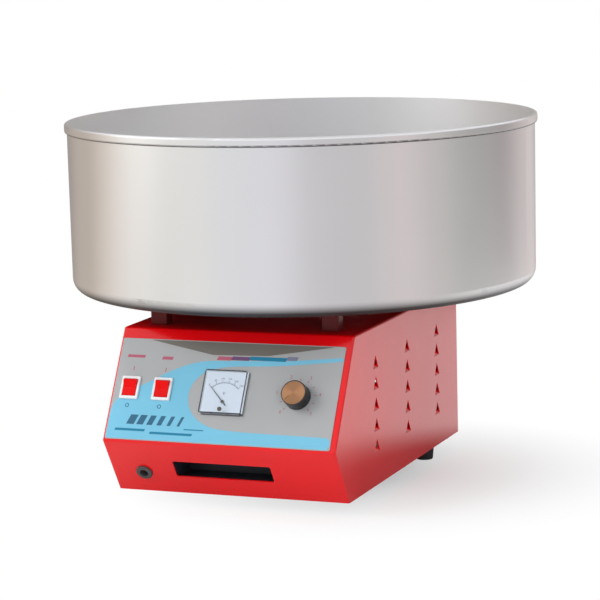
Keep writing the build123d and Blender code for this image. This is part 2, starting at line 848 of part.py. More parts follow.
with BuildPart() as grip_cup:
    with BuildSketch(Plane.XZ.offset(-(grip_back_y + grip_wall))):
        with Locations((grip_centre_x, slot_mid_z)):
            Rectangle(grip_length + 2 * grip_wall, slot_top_z - slot_bottom_z + 2 * grip_wall)
    extrude(amount=2 * grip_depth)
    back_edges = grip_cup.edges().group_by(Axis.Y)[-1]
    fillet(back_edges, grip_wall)
    split(bisect_by=behind_chin, keep=Keep.BOTTOM)
    with BuildSketch(behind_chin):
        with Locations((grip_centre_x, -grip_below_nose)):
            RectangleRounded(
                grip_length + 2 * grip_flange, grip_opening + 2 * grip_flange, grip_flange_corner
            )
    extrude(amount=-grip_wall)
    with BuildSketch(Plane.XZ.offset(-grip_back_y)):
        with Locations((grip_centre_x, slot_mid_z)):
            RectangleRounded(grip_length, slot_top_z - slot_bottom_z, grip_corner)
    extrude(amount=2 * grip_depth, mode=Mode.SUBTRACT)
save(grip_cup, "grip_cup")

inlet_plane = on_plane(chin_plane, inlet_x, -inlet_below_nose)
with BuildPart() as cord_grommet:
    with BuildSketch(inlet_plane):
        Circle(grommet_flange_radius)
    extrude(amount=grommet_flange_height)
    fillet(cord_grommet.edges().sort_by(Axis(inlet_plane.origin, inlet_plane.z_dir))[-1], grommet_round)
    with BuildSketch(inlet_plane):
        Circle(inlet_radius)
    extrude(amount=-sheet)
    with BuildSketch(inlet_plane.offset(-sheet)):
        Circle(grommet_flange_radius)
    extrude(amount=-grommet_flange_height)
    with BuildSketch(inlet_plane.offset(grommet_flange_height)):
        Circle(grommet_bore)
    extrude(amount=-(2 * grommet_flange_height + sheet), mode=Mode.SUBTRACT)
save(cord_grommet, "cord_grommet")

# ------------------------------------------------------------ posts and bowl
post_top = bowl_floor - post_pad
for name, point in post_points.items():
    with BuildPart() as post:
        with BuildSketch(Plane.XY.offset(case_top)):
            with Locations(point):
                RectangleRounded(post_width, post_depth, post_corner)
        extrude(amount=post_top - case_top)
        with BuildSketch(Plane.XY.offset(case_top)):
            with Locations(point):
                Rectangle(post_width - 2 * sheet, post_depth - 2 * sheet)
        extrude(amount=post_top - case_top - sheet, mode=Mode.SUBTRACT)
        with BuildSketch(Plane.XY.offset(post_top)):
            with Locations(point):
                Circle(stud_radius + fit)
        extrude(amount=-2 * sheet, mode=Mode.SUBTRACT)
    save(post, name)

with BuildPart() as post_pads:
    with BuildSketch(Plane.XY.offset(post_top)):
        with Locations(*post_points.values()):
            RectangleRounded(post_width, post_depth, post_corner)
        with Locations(*post_points.values()):
            Circle(stud_radius + fit, mode=Mode.SUBTRACT)
    extrude(amount=post_pad)
save(post_pads, "post_pads")

stud_bottom = under_top - stud_nut_height - stud_tail
stud_round = 1.5
with BuildPart() as post_studs:
    with BuildSketch(Plane.XY.offset(stud_bottom)):
        with Locations(*post_points.values()):
            Circle(stud_radius)
    extrude(amount=bowl_floor + stud_stand - stud_bottom)
    fillet(post_studs.edges().group_by(Axis.Z)[-1], stud_round)
    with BuildSketch(Plane.XY.offset(under_top)):
        with Locations(*post_points.values()):
            RegularPolygon(stud_nut_flats / 2, 6, major_radius=False)
    extrude(amount=-stud_nut_height)
save(post_studs, "post_studs")

bead_radius = bowl_wall_radius + bead_reach
bead_bottom = rim_z - bead_height
with BuildPart() as bowl:
    with BuildSketch(Plane.XZ) as bowl_profile:
        with BuildLine():
            Polyline(
                (bowl_hole_radius, bowl_floor + bowl_collar_height),
                (bowl_hole_radius, bowl_floor),
                (bowl_base_radius, bowl_floor),
                (bowl_wall_radius, bead_bottom),
                (bead_radius, bead_bottom),
                (bead_radius, rim_z),
                (bowl_wall_radius - bowl_sheet, rim_z),
                (bowl_base_radius - bowl_sheet, bowl_floor + bowl_sheet),
                (bowl_hole_radius + bowl_sheet, bowl_floor + bowl_sheet),
                (bowl_hole_radius + bowl_sheet, bowl_floor + bowl_collar_height),
                close=True,
            )
        make_face()
        outer_corner = bowl_profile.vertices().sort_by_distance((bowl_base_radius, bowl_floor))[0]
        fillet(outer_corner, bowl_corner)
        inner_corner = bowl_profile.vertices().sort_by_distance(
            (bowl_base_radius - bowl_sheet, bowl_floor + bowl_sheet)
        )[0]
        fillet(inner_corner, bowl_corner - bowl_sheet)
        hole_corner = bowl_profile.vertices().sort_by_distance((bowl_hole_radius, bowl_floor))[0]
        fillet(hole_corner, 2 * bowl_sheet)
        bead_corners = bowl_profile.vertices().filter_by(lambda v: v.X > bead_radius - 0.1)
        fillet(bead_corners, bead_round)
    revolve(axis=Axis.Z)
    with BuildSketch(Plane.XY.offset(bowl_floor)):
        with Locations(*post_points.values()):
            Circle(stud_radius + stud_hole_gap)
    extrude(amount=2 * bowl_sheet, mode=Mode.SUBTRACT)
save(bowl, "bowl")

# --------------------------------------------------------------------- motor
plate_top = under_top - mount_height
motor_top = plate_top - motor_plate_thickness
motor_bottom = motor_top - motor_length
cover_bottom = motor_bottom - end_cover_height
motor_inner = motor_radius - motor_wall
boss_bottom = motor_top - motor_end - boss_drop
core_mid = (motor_bottom + motor_top - motor_end) / 2
core_bottom_z = core_mid - core_length / 2
shaft_clearance = 3.0
end_hole_radius = shaft_radius + shaft_clearance
fixing = 30.0
fixing_points = [(side * fixing, end * fixing) for side in (-1, 1) for end in (-1, 1)]
end_vents = 6
end_vent_radius = 4.5
end_vent_margin = 9.0
end_vent_circle = boss_radius + end_vent_radius + end_vent_margin


def outline(points):
    """A closed outline of (radius, z) points, to be revolved about the spin axis."""
    with BuildSketch(Plane.XZ) as profile:
        with BuildLine():
            Polyline(*points, close=True)
        make_face()
    return profile.sketch


with BuildPart() as motor_plate:
    with BuildSketch(Plane.XY.offset(motor_top)):
        RectangleRounded(motor_plate_x, motor_plate_y, motor_plate_corner)
        Circle(boss_radius, mode=Mode.SUBTRACT)
        with Locations(*mount_points):
            Circle(stud_radius + fit, mode=Mode.SUBTRACT)
        with Locations(*fixing_points):
            Circle(screw_radius + fit, mode=Mode.SUBTRACT)
    extrude(amount=motor_plate_thickness)
save(motor_plate, "motor_plate")

with BuildPart() as motor_mounts:
    with BuildSketch(Plane.XY.offset(plate_top)):
        with Locations(*mount_points):
            Circle(mount_radius)
        with Locations(*mount_points):
            Circle(stud_radius + fit, mode=Mode.SUBTRACT)
    extrude(amount=mount_height)
save(motor_mounts, "motor_mounts")

with BuildPart() as motor_screws:
    with BuildSketch(Plane.XY.offset(case_top)):
        with Locations(*mount_points):
            Circle(mount_screw_head_radius)
    extrude(amount=screw_head_height)
    fillet(motor_screws.edges().group_by(Axis.Z)[-1], screw_head_height / 2)
    with BuildSketch(Plane.XY.offset(case_top)):
        with Locations(*mount_points):
            Circle(stud_radius)
    extrude(amount=motor_top - stud_nut_height - stud_tail - case_top)
    with BuildSketch(Plane.XY.offset(motor_top)):
        with Locations(*mount_points):
            RegularPolygon(stud_nut_flats / 2, 6, major_radius=False)
    extrude(amount=-stud_nut_height)
    with BuildSketch(Plane.XY.offset(plate_top)):
        with Locations(*fixing_points):
            Circle(screw_head_radius)
    extrude(amount=screw_head_height)
    with BuildSketch(Plane.XY.offset(plate_top)):
        with Locations(*fixing_points):
            Circle(screw_radius)
    extrude(amount=motor_top - motor_end - plate_top)
save(motor_screws, "motor_screws")

with BuildPart() as motor_housing:
    revolve(
        outline(
            [
                (end_hole_radius, motor_top),
                (motor_radius, motor_top),
                (motor_radius, motor_bottom),
                (motor_inner, motor_bottom),
                (motor_inner, motor_top - motor_end),
                (boss_radius, motor_top - motor_end),
                (boss_radius, boss_bottom),
                (bearing_radius + fit, boss_bottom),
                (bearing_radius + fit, boss_bottom + bearing_width),
                (end_hole_radius, boss_bottom + bearing_width),
            ]
        ),
        axis=Axis.Z,
    )
    with BuildSketch(Plane.XY.offset(motor_top)):
        with PolarLocations(end_vent_circle, end_vents):
            Circle(end_vent_radius)
        with Locations(*fixing_points):
            Circle(screw_radius + fit)
    extrude(amount=-motor_end, mode=Mode.SUBTRACT)
save(motor_housing, "motor_housing")

with BuildPart() as motor_end_cover:
    revolve(
        outline(
            [
                (end_hole_radius, cover_bottom),
                (boss_radius, cover_bottom),
                (boss_radius, motor_bottom - motor_end),
                (motor_radius, motor_bottom - motor_end),
                (motor_radius, motor_bottom),
                (bearing_radius + fit, motor_bottom),
                (bearing_radius + fit, motor_bottom - bearing_width),
                (end_hole_radius, motor_bottom - bearing_width),
            ]
        ),
        axis=Axis.Z,
    )
    with BuildSketch(Plane.XY.offset(motor_bottom)):
        with PolarLocations(end_vent_circle, end_vents):
            Circle(end_vent_radius)
    extrude(amount=-motor_end, mode=Mode.SUBTRACT)
save(motor_end_cover, "motor_end_cover")

shield_groove = 0.6
bearing_ring = 3.0
shield_inner = shaft_radius + bearing_ring
shield_outer = bearing_radius - bearing_ring
for name, low in (("upper_bearing", boss_bottom), ("lower_bearing", motor_bottom - bearing_width)):
    high = low + bearing_width
    with BuildPart() as bearing:
        revolve(
            outline(
                [
                    (shaft_radius + fit, low),
                    (shield_inner, low),
                    (shield_inner, low + shield_groove),
                    (shield_outer, low + shield_groove),
                    (shield_outer, low),
                    (bearing_radius, low),
                    (bearing_radius, high),
                    (shield_outer, high),
                    (shield_outer, high - shield_groove),
                    (shield_inner, high - shield_groove),
                    (shield_inner, high),
                    (shaft_radius + fit, high),
                ]
            ),
            axis=Axis.Z,
        )
    save(bearing, name)

slot_width = 8.0
slot_mouth = 2.5
tooth_tip = 3.4
slot_inner = rotor_radius + air_gap + tooth_tip
slot_depth = 14.0
wire_gap = 0.4
with BuildPart() as stator_core:
    with BuildSketch(Plane.XY.offset(core_bottom_z)):
        Circle(motor_inner - fit)
        Circle(rotor_radius + air_gap, mode=Mode.SUBTRACT)
        with PolarLocations(slot_inner + slot_depth / 2, stator_slots):
            Rectangle(slot_depth, slot_width, mode=Mode.SUBTRACT)
        with PolarLocations(slot_inner, stator_slots):
            Rectangle(slot_depth / 2, slot_mouth, mode=Mode.SUBTRACT)
    extrude(amount=core_length)
save(stator_core, "stator_core")

end_turn = 9.0
end_turn_round = 2.5
with BuildPart() as stator_windings:
    for low in (core_bottom_z - end_turn, core_bottom_z + core_length):
        with BuildSketch(Plane.XY.offset(low)):
            Circle(slot_inner + slot_depth)
            Circle(slot_inner - wire_gap, mode=Mode.SUBTRACT)
        extrude(amount=end_turn)
    rims = stator_windings.edges().filter_by(GeomType.CIRCLE)
    fillet([rim for rim in rims if abs(rim.center().Z - core_mid) > core_length / 2 + 1], end_turn_round)
    with BuildSketch(Plane.XY.offset(core_bottom_z)):
        with PolarLocations(slot_inner + slot_depth / 2, stator_slots):
            Rectangle(slot_depth - 2 * wire_gap, slot_width - 2 * wire_gap)
    extrude(amount=core_length)
save(stator_windings, "stator_windings")

rotor_ring = 3.5
rotor_ring_radius = 0.9 * rotor_radius
with BuildPart() as rotor_core:
    revolve(
        outline(
            [
                (shaft_radius + fit, core_bottom_z - rotor_ring),
                (rotor_ring_radius, core_bottom_z - rotor_ring),
                (rotor_ring_radius, core_bottom_z),
                (rotor_radius, core_bottom_z),
                (rotor_radius, core_bottom_z + core_length),
                (rotor_ring_radius, core_bottom_z + core_length),
                (rotor_ring_radius, core_bottom_z + core_length + rotor_ring),
                (shaft_radius + fit, core_bottom_z + core_length + rotor_ring),
            ]
        ),
        axis=Axis.Z,
    )
save(rotor_core, "rotor_core")

# ----------------------------------------------------- slip rings and brushes
hub_top = cover_bottom - hub_drop
ring_2_top = hub_top - hub_flange
ring_2_bottom = ring_2_top - ring_width
ring_1_top = ring_2_bottom - ring_gap
ring_1_bottom = ring_1_top - ring_width
hub_bottom = ring_1_bottom - hub_flange
head_z = bowl_floor + head_lift
shaft_tail = 4.0
shaft_chamfer = 0.8
shaft_bottom = hub_bottom - shaft_tail
thread_radius = 4.0
thread_length = 9.0

with BuildPart() as motor_shaft:
    with BuildSketch(Plane.XY.offset(shaft_bottom)):
        Circle(shaft_radius)
    extrude(amount=head_z + head_disc - shaft_bottom)
    with BuildSketch(Plane.XY.offset(head_z + head_disc)):
        Circle(thread_radius)
    extrude(amount=thread_length)
    chamfer(motor_shaft.edges().group_by(Axis.Z)[0], shaft_chamfer)
save(motor_shaft, "motor_shaft")

with BuildPart() as slip_ring_hub:
    revolve(
        outline(
            [
                (shaft_radius + fit, hub_bottom),
                (hub_flange_radius, hub_bottom),
                (hub_flange_radius, ring_1_bottom),
                (hub_radius, ring_1_bottom),
                (hub_radius, ring_1_top),
                (hub_flange_radius, ring_1_top),
                (hub_flange_radius, ring_2_bottom),
                (hub_radius, ring_2_bottom),
                (hub_radius, ring_2_top),
                (hub_flange_radius, ring_2_top),
                (hub_flange_radius, hub_top),
                (shaft_radius + fit, hub_top),
            ]
        ),
        axis=Axis.Z,
    )
save(slip_ring_hub, "slip_ring_hub")

with BuildPart() as slip_rings:
    for low in (ring_1_bottom, ring_2_bottom):
        with BuildSketch(Plane.XY.offset(low)):
            Circle(ring_radius)
            Circle(hub_radius + fit, mode=Mode.SUBTRACT)
        extrude(amount=ring_width)
save(slip_rings, "slip_rings")

holder_in = ring_radius + holder_inset
holder_out = ring_radius + brush_reach
holder_top = motor_bottom - motor_end
boss_gap = 1.0
boss_side = boss_radius + boss_gap
brush_zs = (ring_1_bottom + ring_width / 2, ring_2_bottom + ring_width / 2)
brush_gap = 0.2
brush_stand = 1.0  # how far a brush stands out of the holder's back
with BuildPart() as brush_holder:
    with BuildSketch(Plane.XZ):
        with BuildLine():
            Polyline(
                (holder_in, hub_bottom),
                (holder_out, hub_bottom),
                (holder_out, holder_top),
                (boss_side, holder_top),
                (boss_side, hub_top),
                (holder_in, hub_top),
                close=True,
            )
        make_face()
    extrude(amount=holder_width / 2, both=True)
    with BuildSketch(Plane.YZ.offset(holder_in)):
        with Locations(*[(0, z) for z in brush_zs]):
            Rectangle(brush_size + 2 * brush_gap, brush_size + 2 * brush_gap)
    extrude(amount=holder_out - holder_in, mode=Mode.SUBTRACT)
save(brush_holder, "brush_holder")

with BuildPart() as carbon_brushes:
    with BuildSketch(Plane.YZ.offset(ring_radius + brush_gap)):
        with Locations(*[(0, z) for z in brush_zs]):
            Rectangle(brush_size, brush_size)
    extrude(amount=holder_out + brush_stand - ring_radius - brush_gap)
save(carbon_brushes, "carbon_brushes")

spring_mid = sum(brush_zs) / 2
spring_pad = 1.5
spring_bend = 3.5
spring_end = (brush_zs[1] - brush_zs[0]) / 2 + brush_size / 2
spring_back = holder_out + brush_stand
with BuildPart() as brush_spring:
    with BuildSketch(Plane.XZ):
        with BuildLine():
            Polyline(
                (holder_out, spring_mid - spring_pad),
                (holder_out, spring_mid + spring_pad),
                (spring_back, spring_mid + spring_bend),
                (spring_back, spring_mid + spring_end),
                (spring_back + spring_sheet, spring_mid + spring_end),
                (spring_back + spring_sheet, spring_mid + spring_bend - spring_sheet / 2),
                (holder_out + spring_sheet, spring_mid + spring_pad - spring_sheet / 2),
                (holder_out + spring_sheet, spring_mid - spring_pad + spring_sheet / 2),
                (spring_back + spring_sheet, spring_mid - spring_bend + spring_sheet / 2),
                (spring_back + spring_sheet, spring_mid - spring_end),
                (spring_back, spring_mid - spring_end),
                (spring_back, spring_mid - spring_bend),
                close=True,
            )
        make_face()
    extrude(amount=brush_size / 2, both=True)
save(brush_spring, "brush_spring")

# -------------------------------------------------------------- spinner head
disc_radius = head_radius - band_sheet - fit
head_disc_top = head_z + head_disc
band_step = 1.0  # the band starts above the disc's lower face
band_bottom = head_z + band_step
band_top = band_bottom + band_height
lid_bottom = band_top - head_lid_thickness
element_inner_radius = head_post_circle + head_post_radius + element_sheet + 2 * fit
element_bottom = (head_disc_top + lid_bottom - element_height) / 2
slot_bottom = (head_disc_top + lid_bottom - band_slot_height) / 2

with BuildPart() as shaft_collar:
    revolve(
        outline(
            [
                (collar_bore, under_top),
                (collar_neck_radius - fit, under_top),
                (collar_neck_radius - fit, case_top),
                (collar_radius, case_top),
                (collar_radius, case_top + collar_sheet),
                (collar_neck_radius, case_top + collar_sheet),
                (collar_bore + collar_sheet, case_top + 3 * collar_sheet),
                (collar_bore + collar_sheet, case_top + collar_height),
                (collar_bore, case_top + collar_height),
            ]
        ),
        axis=Axis.Z,
    )
save(shaft_collar, "shaft_collar")

with BuildPart() as head_base:
    revolve(
        outline(
            [
                (shaft_radius + fit, head_z - head_hub_drop),
                (head_hub_radius, head_z - head_hub_drop),
                (head_hub_radius, head_z),
                (disc_radius, head_z),
                (disc_radius, head_disc_top),
                (shaft_radius + fit, head_disc_top),
            ]
        ),
        axis=Axis.Z,
    )
    with BuildSketch(Plane.XY.offset(head_z)):
        with PolarLocations(head_post_circle, head_posts, start_angle=45):
            Circle(screw_radius + fit)
    extrude(amount=head_disc, mode=Mode.SUBTRACT)
save(head_base, "head_base")

with BuildPart() as head_band:
    with BuildSketch(Plane.XY.offset(band_bottom)):
        Circle(head_radius)
        Circle(head_radius - band_sheet, mode=Mode.SUBTRACT)
    extrude(amount=band_height)
    with BuildSketch(Plane.XY.offset(slot_bottom)):
        with PolarLocations(head_radius, band_slots):
            Rectangle(4 * band_sheet, band_slot_width)
    extrude(amount=band_slot_height, mode=Mode.SUBTRACT)
save(head_band, "head_band")

with BuildPart() as head_lid:
    revolve(
        outline(
            [
                (funnel_radius, lid_bottom),
                (disc_radius, lid_bottom),
                (disc_radius, band_top),
                (funnel_radius + 2 * funnel_wall, band_top),
                (funnel_radius + funnel_wall, band_top + funnel_wall),
                (funnel_radius + funnel_wall, band_top + funnel_height),
                (funnel_radius, band_top + funnel_height),
            ]
        ),
        axis=Axis.Z,
    )
    with BuildSketch(Plane.XY.offset(lid_bottom)):
        with PolarLocations(head_post_circle, head_posts, start_angle=45):
            Circle(screw_radius + fit)
    extrude(amount=head_lid_thickness, mode=Mode.SUBTRACT)
save(head_lid, "head_lid")

with BuildPart() as heater_posts:
    with BuildSketch(Plane.XY.offset(head_disc_top)):
        with PolarLocations(head_post_circle, head_posts, start_angle=45):
            Circle(head_post_radius)
        with PolarLocations(head_post_circle, head_posts, start_angle=45):
            Circle(screw_radius + fit, mode=Mode.SUBTRACT)
    extrude(amount=lid_bottom - head_disc_top)
save(heater_posts, "heater_posts")


def folded_ring(inner, outer):
    """A closed zigzag that runs between two radii, with an inner fold at each post."""
    steps = 2 * element_folds
    for i in range(steps):
        radius = inner if i % 2 == 0 else outer
        angle = pi / 4 + 2 * pi * i / steps
        yield (radius * cos(angle), radius * sin(angle))


half_ribbon = element_sheet / 2
with BuildPart() as heater_element:
    with BuildSketch(Plane.XY.offset(element_bottom)):
        with BuildLine():
            Polyline(
                *folded_ring(element_inner_radius + half_ribbon, element_outer_radius + half_ribbon),
                close=True,
            )
        make_face()
        with BuildLine():
            Polyline(
                *folded_ring(element_inner_radius - half_ribbon, element_outer_radius - half_ribbon),
                close=True,
            )
        make_face(mode=Mode.SUBTRACT)
    extrude(amount=element_height)
save(heater_element, "heater_element")

with BuildPart() as head_fasteners:
    with BuildSketch(Plane.XY.offset(head_z - nut_height)):
        with PolarLocations(head_post_circle, head_posts, start_angle=45):
            RegularPolygon(nut_flats / 2, 6, major_radius=False)
    extrude(amount=nut_height)
    with BuildSketch(Plane.XY.offset(head_z - nut_height)):
        with PolarLocations(head_post_circle, head_posts, start_angle=45):
            Circle(screw_radius)
    extrude(amount=band_top + nut_height - head_z)
    with BuildSketch(Plane.XY.offset(band_top)):
        with PolarLocations(head_post_circle, head_posts, start_angle=45):
            Circle(screw_head_radius)
    extrude(amount=screw_head_height)
    with BuildSketch(Plane.XY.offset(head_disc_top)):
        RegularPolygon(nut_across_flats / 2, 6, major_radius=False)
        Circle(thread_radius + fit, mode=Mode.SUBTRACT)
    extrude(amount=2 * nut_height)
save(head_fasteners, "head_fasteners")

# ------------------------------------------------------------ terminal block
block_from_side = 60.0
block_from_rear = 49.0
block_x = block_from_side - case_half
block_y = rear_reach - block_from_rear
block_length = 56.0
block_width = 18.0
block_height = 15.0
block_ways = 5
block_groove = 2.0
with BuildPart() as terminal_block:
    with BuildSketch(Plane.XY.offset(base_top)):
        with Locations((block_x, block_y)):
            Rectangle(block_length, block_width)
    extrude(amount=block_height)
    way_pitch = block_length / block_ways
    with BuildSketch(Plane.XY.offset(base_top + block_height)):
        with Locations((block_x, block_y)):
            with GridLocations(way_pitch, 0, block_ways - 1, 1):
                Rectangle(block_groove, block_width)
            with GridLocations(way_pitch, block_width / 2, block_ways, 2):
                Circle(screw_radius)
    extrude(amount=-block_height / 2, mode=Mode.SUBTRACT)
save(terminal_block, "terminal_block")
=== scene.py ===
import math

import bmesh
import bpy
from bpy.props import FloatProperty, FloatVectorProperty, IntProperty, PointerProperty
from mathutils import Matrix, Vector


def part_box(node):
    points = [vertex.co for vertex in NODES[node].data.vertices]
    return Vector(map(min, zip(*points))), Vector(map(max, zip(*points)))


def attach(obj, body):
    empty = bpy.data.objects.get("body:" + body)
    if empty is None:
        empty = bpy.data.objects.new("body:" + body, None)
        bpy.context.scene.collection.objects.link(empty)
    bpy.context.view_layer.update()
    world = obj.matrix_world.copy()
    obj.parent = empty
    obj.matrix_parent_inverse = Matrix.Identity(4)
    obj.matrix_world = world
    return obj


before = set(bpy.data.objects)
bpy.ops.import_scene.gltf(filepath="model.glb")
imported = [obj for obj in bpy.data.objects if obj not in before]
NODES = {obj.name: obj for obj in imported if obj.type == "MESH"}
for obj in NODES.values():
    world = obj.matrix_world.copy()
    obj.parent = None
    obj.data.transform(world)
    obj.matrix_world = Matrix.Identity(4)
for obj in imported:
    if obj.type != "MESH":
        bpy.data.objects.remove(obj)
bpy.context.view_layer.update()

bl_info = {
    "name": "Candy Floss Machine",
    "version": (1, 0, 0),
    "blender": (4, 5, 0),
    "location": "3D View > Sidebar > Candy Floss",
    "description": "Finishes and fine pieces of a table-top candy floss machine",
    "category": "Object",
}

MM = 0.001
# How far ink reaches into what it lies on, in millimetres
SUNK = 0.02
# A font's size for figures of height one
FONT_SIZE = 1.4
# The axis that the bowl, the head and the motor share
MIDDLE = (0.0, 0.0, 0.0)
UPRIGHT = (0.0, 0.0, 1.0)


# ---------------------------------------------------------------- node groups
NUMBER = "NodeSocketFloat"
COLOUR = "NodeSocketColor"
VECTOR = "NodeSocketVector"


def start_group(name, inputs, outputs):
    """A new shader node group with its sockets, its entry and its exit."""
    group = bpy.data.node_groups.new(name, "ShaderNodeTree")
    for label, kind, value in inputs:
        group.interface.new_socket(name=label, in_out="INPUT", socket_type=kind).default_value = value
    for label, kind in outputs:
        group.interface.new_socket(name=label, in_out="OUTPUT", socket_type=kind)
    return group, group.nodes.new("NodeGroupInput"), group.nodes.new("NodeGroupOutput")


def feed(tree, entry, term):
    """Gives an input its term: a socket is linked to it, a value is set on it."""
    if isinstance(term, bpy.types.NodeSocket):
        tree.links.new(term, entry)
    else:
        entry.default_value = term


def maths(tree, operation, *terms, clamp=False):
    """A maths node. Each term is a socket or a number."""
    node = tree.nodes.new("ShaderNodeMath")
    node.operation = operation
    node.use_clamp = clamp
    for entry, term in zip(node.inputs, terms):
        feed(tree, entry, term)
    return node.outputs[0]


def vector_maths(tree, operation, *terms):
    """A vector maths node. Each term is a socket or a vector."""
    node = tree.nodes.new("ShaderNodeVectorMath")
    node.operation = operation
    for entry, term in zip(node.inputs, terms):
        feed(tree, entry, term)
    return node.outputs["Value" if operation in ("DOT_PRODUCT", "LENGTH", "DISTANCE") else "Vector"]


def separate(tree, vector):
    """The three parts of a vector."""
    node = tree.nodes.new("ShaderNodeSeparateXYZ")
    tree.links.new(vector, node.inputs["Vector"])
    return tuple(node.outputs)


def spread_range(tree, value, from_low, from_high, to_low, to_high):
    """A clamped map range. Each bound is a socket or a number."""
    node = tree.nodes.new("ShaderNodeMapRange")
    tree.links.new(value, node.inputs["Value"])
    bounds = {"From Min": from_low, "From Max": from_high, "To Min": to_low, "To Max": to_high}
    for label, bound in bounds.items():
        feed(tree, node.inputs[label], bound)
    return node.outputs["Result"]


def blend_colour(tree, factor, first, second):
    """Mixes two colours, each a socket or a value."""
    node = tree.nodes.new("ShaderNodeMix")
    node.data_type = "RGBA"
    for label, term in (("Factor", factor), ("A", first), ("B", second)):
        feed(tree, node.inputs[label], term)
    return node.outputs["Result"]


def relief(tree, height, depth, under=None):
    """The normal of a relief of a given depth, on top of another normal where one is given."""
    node = tree.nodes.new("ShaderNodeBump")
    node.inputs["Distance"].default_value = depth
    tree.links.new(height, node.inputs["Height"])
    if under is not None:
        tree.links.new(under, node.inputs["Normal"])
    return node.outputs["Normal"]


def noise(tree, vector, scale, detail, rough=0.55):
    """A noise value. The scale is a socket or a number."""
    node = tree.nodes.new("ShaderNodeTexNoise")
    for label, term in (("Vector", vector), ("Scale", scale), ("Detail", detail), ("Roughness", rough)):
        feed(tree, node.inputs[label], term)
    return node.outputs["Fac"]


def object_place(tree):
    """Where a point is on the object, in metres."""
    return tree.nodes.new("ShaderNodeTexCoord").outputs["Object"]


def make_tone_drift():
    """Slow lighter and darker patches in a colour."""
    group, entry, leave = start_group(
        "Tone drift",
        [("Colour", COLOUR, (0.8, 0.8, 0.8, 1.0)), ("Spread", NUMBER, 0.05), ("Scale", NUMBER, 8.0)],
        [("Colour", COLOUR)],
    )
    patches = noise(group, object_place(group), entry.outputs["Scale"], 4.0)
    low = maths(group, "SUBTRACT", 1.0, entry.outputs["Spread"])
    high = maths(group, "ADD", 1.0, entry.outputs["Spread"])
    level = spread_range(group, patches, 0.3, 0.7, low, high)
    tone = group.nodes.new("ShaderNodeHueSaturation")
    group.links.new(entry.outputs["Colour"], tone.inputs["Color"])
    group.links.new(level, tone.inputs["Value"])
    group.links.new(tone.outputs["Color"], leave.inputs["Colour"])
    return group


def make_handled_gloss():
    """Roughness that wanders, as on a surface that has been handled and wiped."""
    group, entry, leave = start_group(
        "Handled gloss",
        [("Roughness", NUMBER, 0.4), ("Spread", NUMBER, 0.1), ("Scale", NUMBER, 20.0)],
        [("Roughness", NUMBER)],
    )
    smears = noise(group, object_place(group), entry.outputs["Scale"], 5.0, 0.65)
    low = maths(group, "SUBTRACT", entry.outputs["Roughness"], entry.outputs["Spread"])
    high = maths(group, "ADD", entry.outputs["Roughness"], entry.outputs["Spread"])
    wander = spread_range(group, smears, 0.35, 0.65, low, high)
    group.links.new(wander, leave.inputs["Roughness"])
    return group


def make_rubbed_edge():
    """A broken mask along the edges that hands and cloths rub."""
    group, entry, leave = start_group(
        "Rubbed edge",
        [("Width", NUMBER, 0.001), ("Amount", NUMBER, 0.5), ("Scale", NUMBER, 60.0)],
        [("Mask", NUMBER)],
    )
    rounded = group.nodes.new("ShaderNodeBevel")
    rounded.samples = 4
    group.links.new(entry.outputs["Width"], rounded.inputs["Radius"])
    facing = group.nodes.new("ShaderNodeNewGeometry").outputs["Normal"]
    together = vector_maths(group, "DOT_PRODUCT", rounded.outputs["Normal"], facing)
    edge = spread_range(group, maths(group, "SUBTRACT", 1.0, together), 0.02, 0.2, 0.0, 1.0)
    patches = noise(group, object_place(group), entry.outputs["Scale"], 5.0)
    broken = maths(group, "MULTIPLY", edge, spread_range(group, patches, 0.4, 0.62, 0.0, 1.0))
    mask = maths(group, "MULTIPLY", broken, entry.outputs["Amount"], clamp=True)
    group.links.new(mask, leave.inputs["Mask"])
    return group


def make_fine_skin():
    """The small relief of a sprayed, cast or moulded skin."""
    group, entry, leave = start_group(
        "Fine skin",
        [("Scale", NUMBER, 400.0), ("Slow share", NUMBER, 0.3)],
        [("Height", NUMBER)],
    )
    place = object_place(group)
    grain = noise(group, place, entry.outputs["Scale"], 2.0)
    slow = noise(group, place, maths(group, "MULTIPLY", entry.outputs["Scale"], 0.08), 2.0)
    share = maths(group, "MULTIPLY", slow, entry.outputs["Slow share"])
    group.links.new(maths(group, "ADD", grain, share), leave.inputs["Height"])
    return group


def make_lathe_lines():
    """Fine lines left round an axis by a spinning roller or a lathe tool."""
    group, entry, leave = start_group(
        "Lathe lines",
        [
            ("Centre", VECTOR, MIDDLE),
            ("Axis", VECTOR, UPRIGHT),
            ("Lines per metre", NUMBER, 900.0),
            ("Streaks", NUMBER, 0.5),
        ],
        [("Height", NUMBER), ("Mask", NUMBER)],
    )
    away = vector_maths(group, "SUBTRACT", object_place(group), entry.outputs["Centre"])
    across = vector_maths(group, "CROSS_PRODUCT", away, entry.outputs["Axis"])
    rings = group.nodes.new("ShaderNodeCombineXYZ")
    group.links.new(vector_maths(group, "LENGTH", across), rings.inputs["X"])
    group.links.new(vector_maths(group, "DOT_PRODUCT", away, entry.outputs["Axis"]), rings.inputs["Y"])
    lines = noise(group, rings.outputs["Vector"], entry.outputs["Lines per metre"], 2.0)
    # Short scratches: the same lines, broken up round the axis
    part = 0.012
    shifted = vector_maths(group, "MULTIPLY", away, (part, part, part))
    broken = vector_maths(group, "ADD", rings.outputs["Vector"], shifted)
    scale = maths(group, "MULTIPLY", entry.outputs["Lines per metre"], 0.45)
    scratches = spread_range(group, noise(group, broken, scale, 3.0), 0.56, 0.72, 0.0, 1.0)
    scored = maths(group, "MULTIPLY", scratches, entry.outputs["Streaks"])
    group.links.new(maths(group, "ADD", lines, scored), leave.inputs["Height"])
    group.links.new(scratches, leave.inputs["Mask"])
    return group


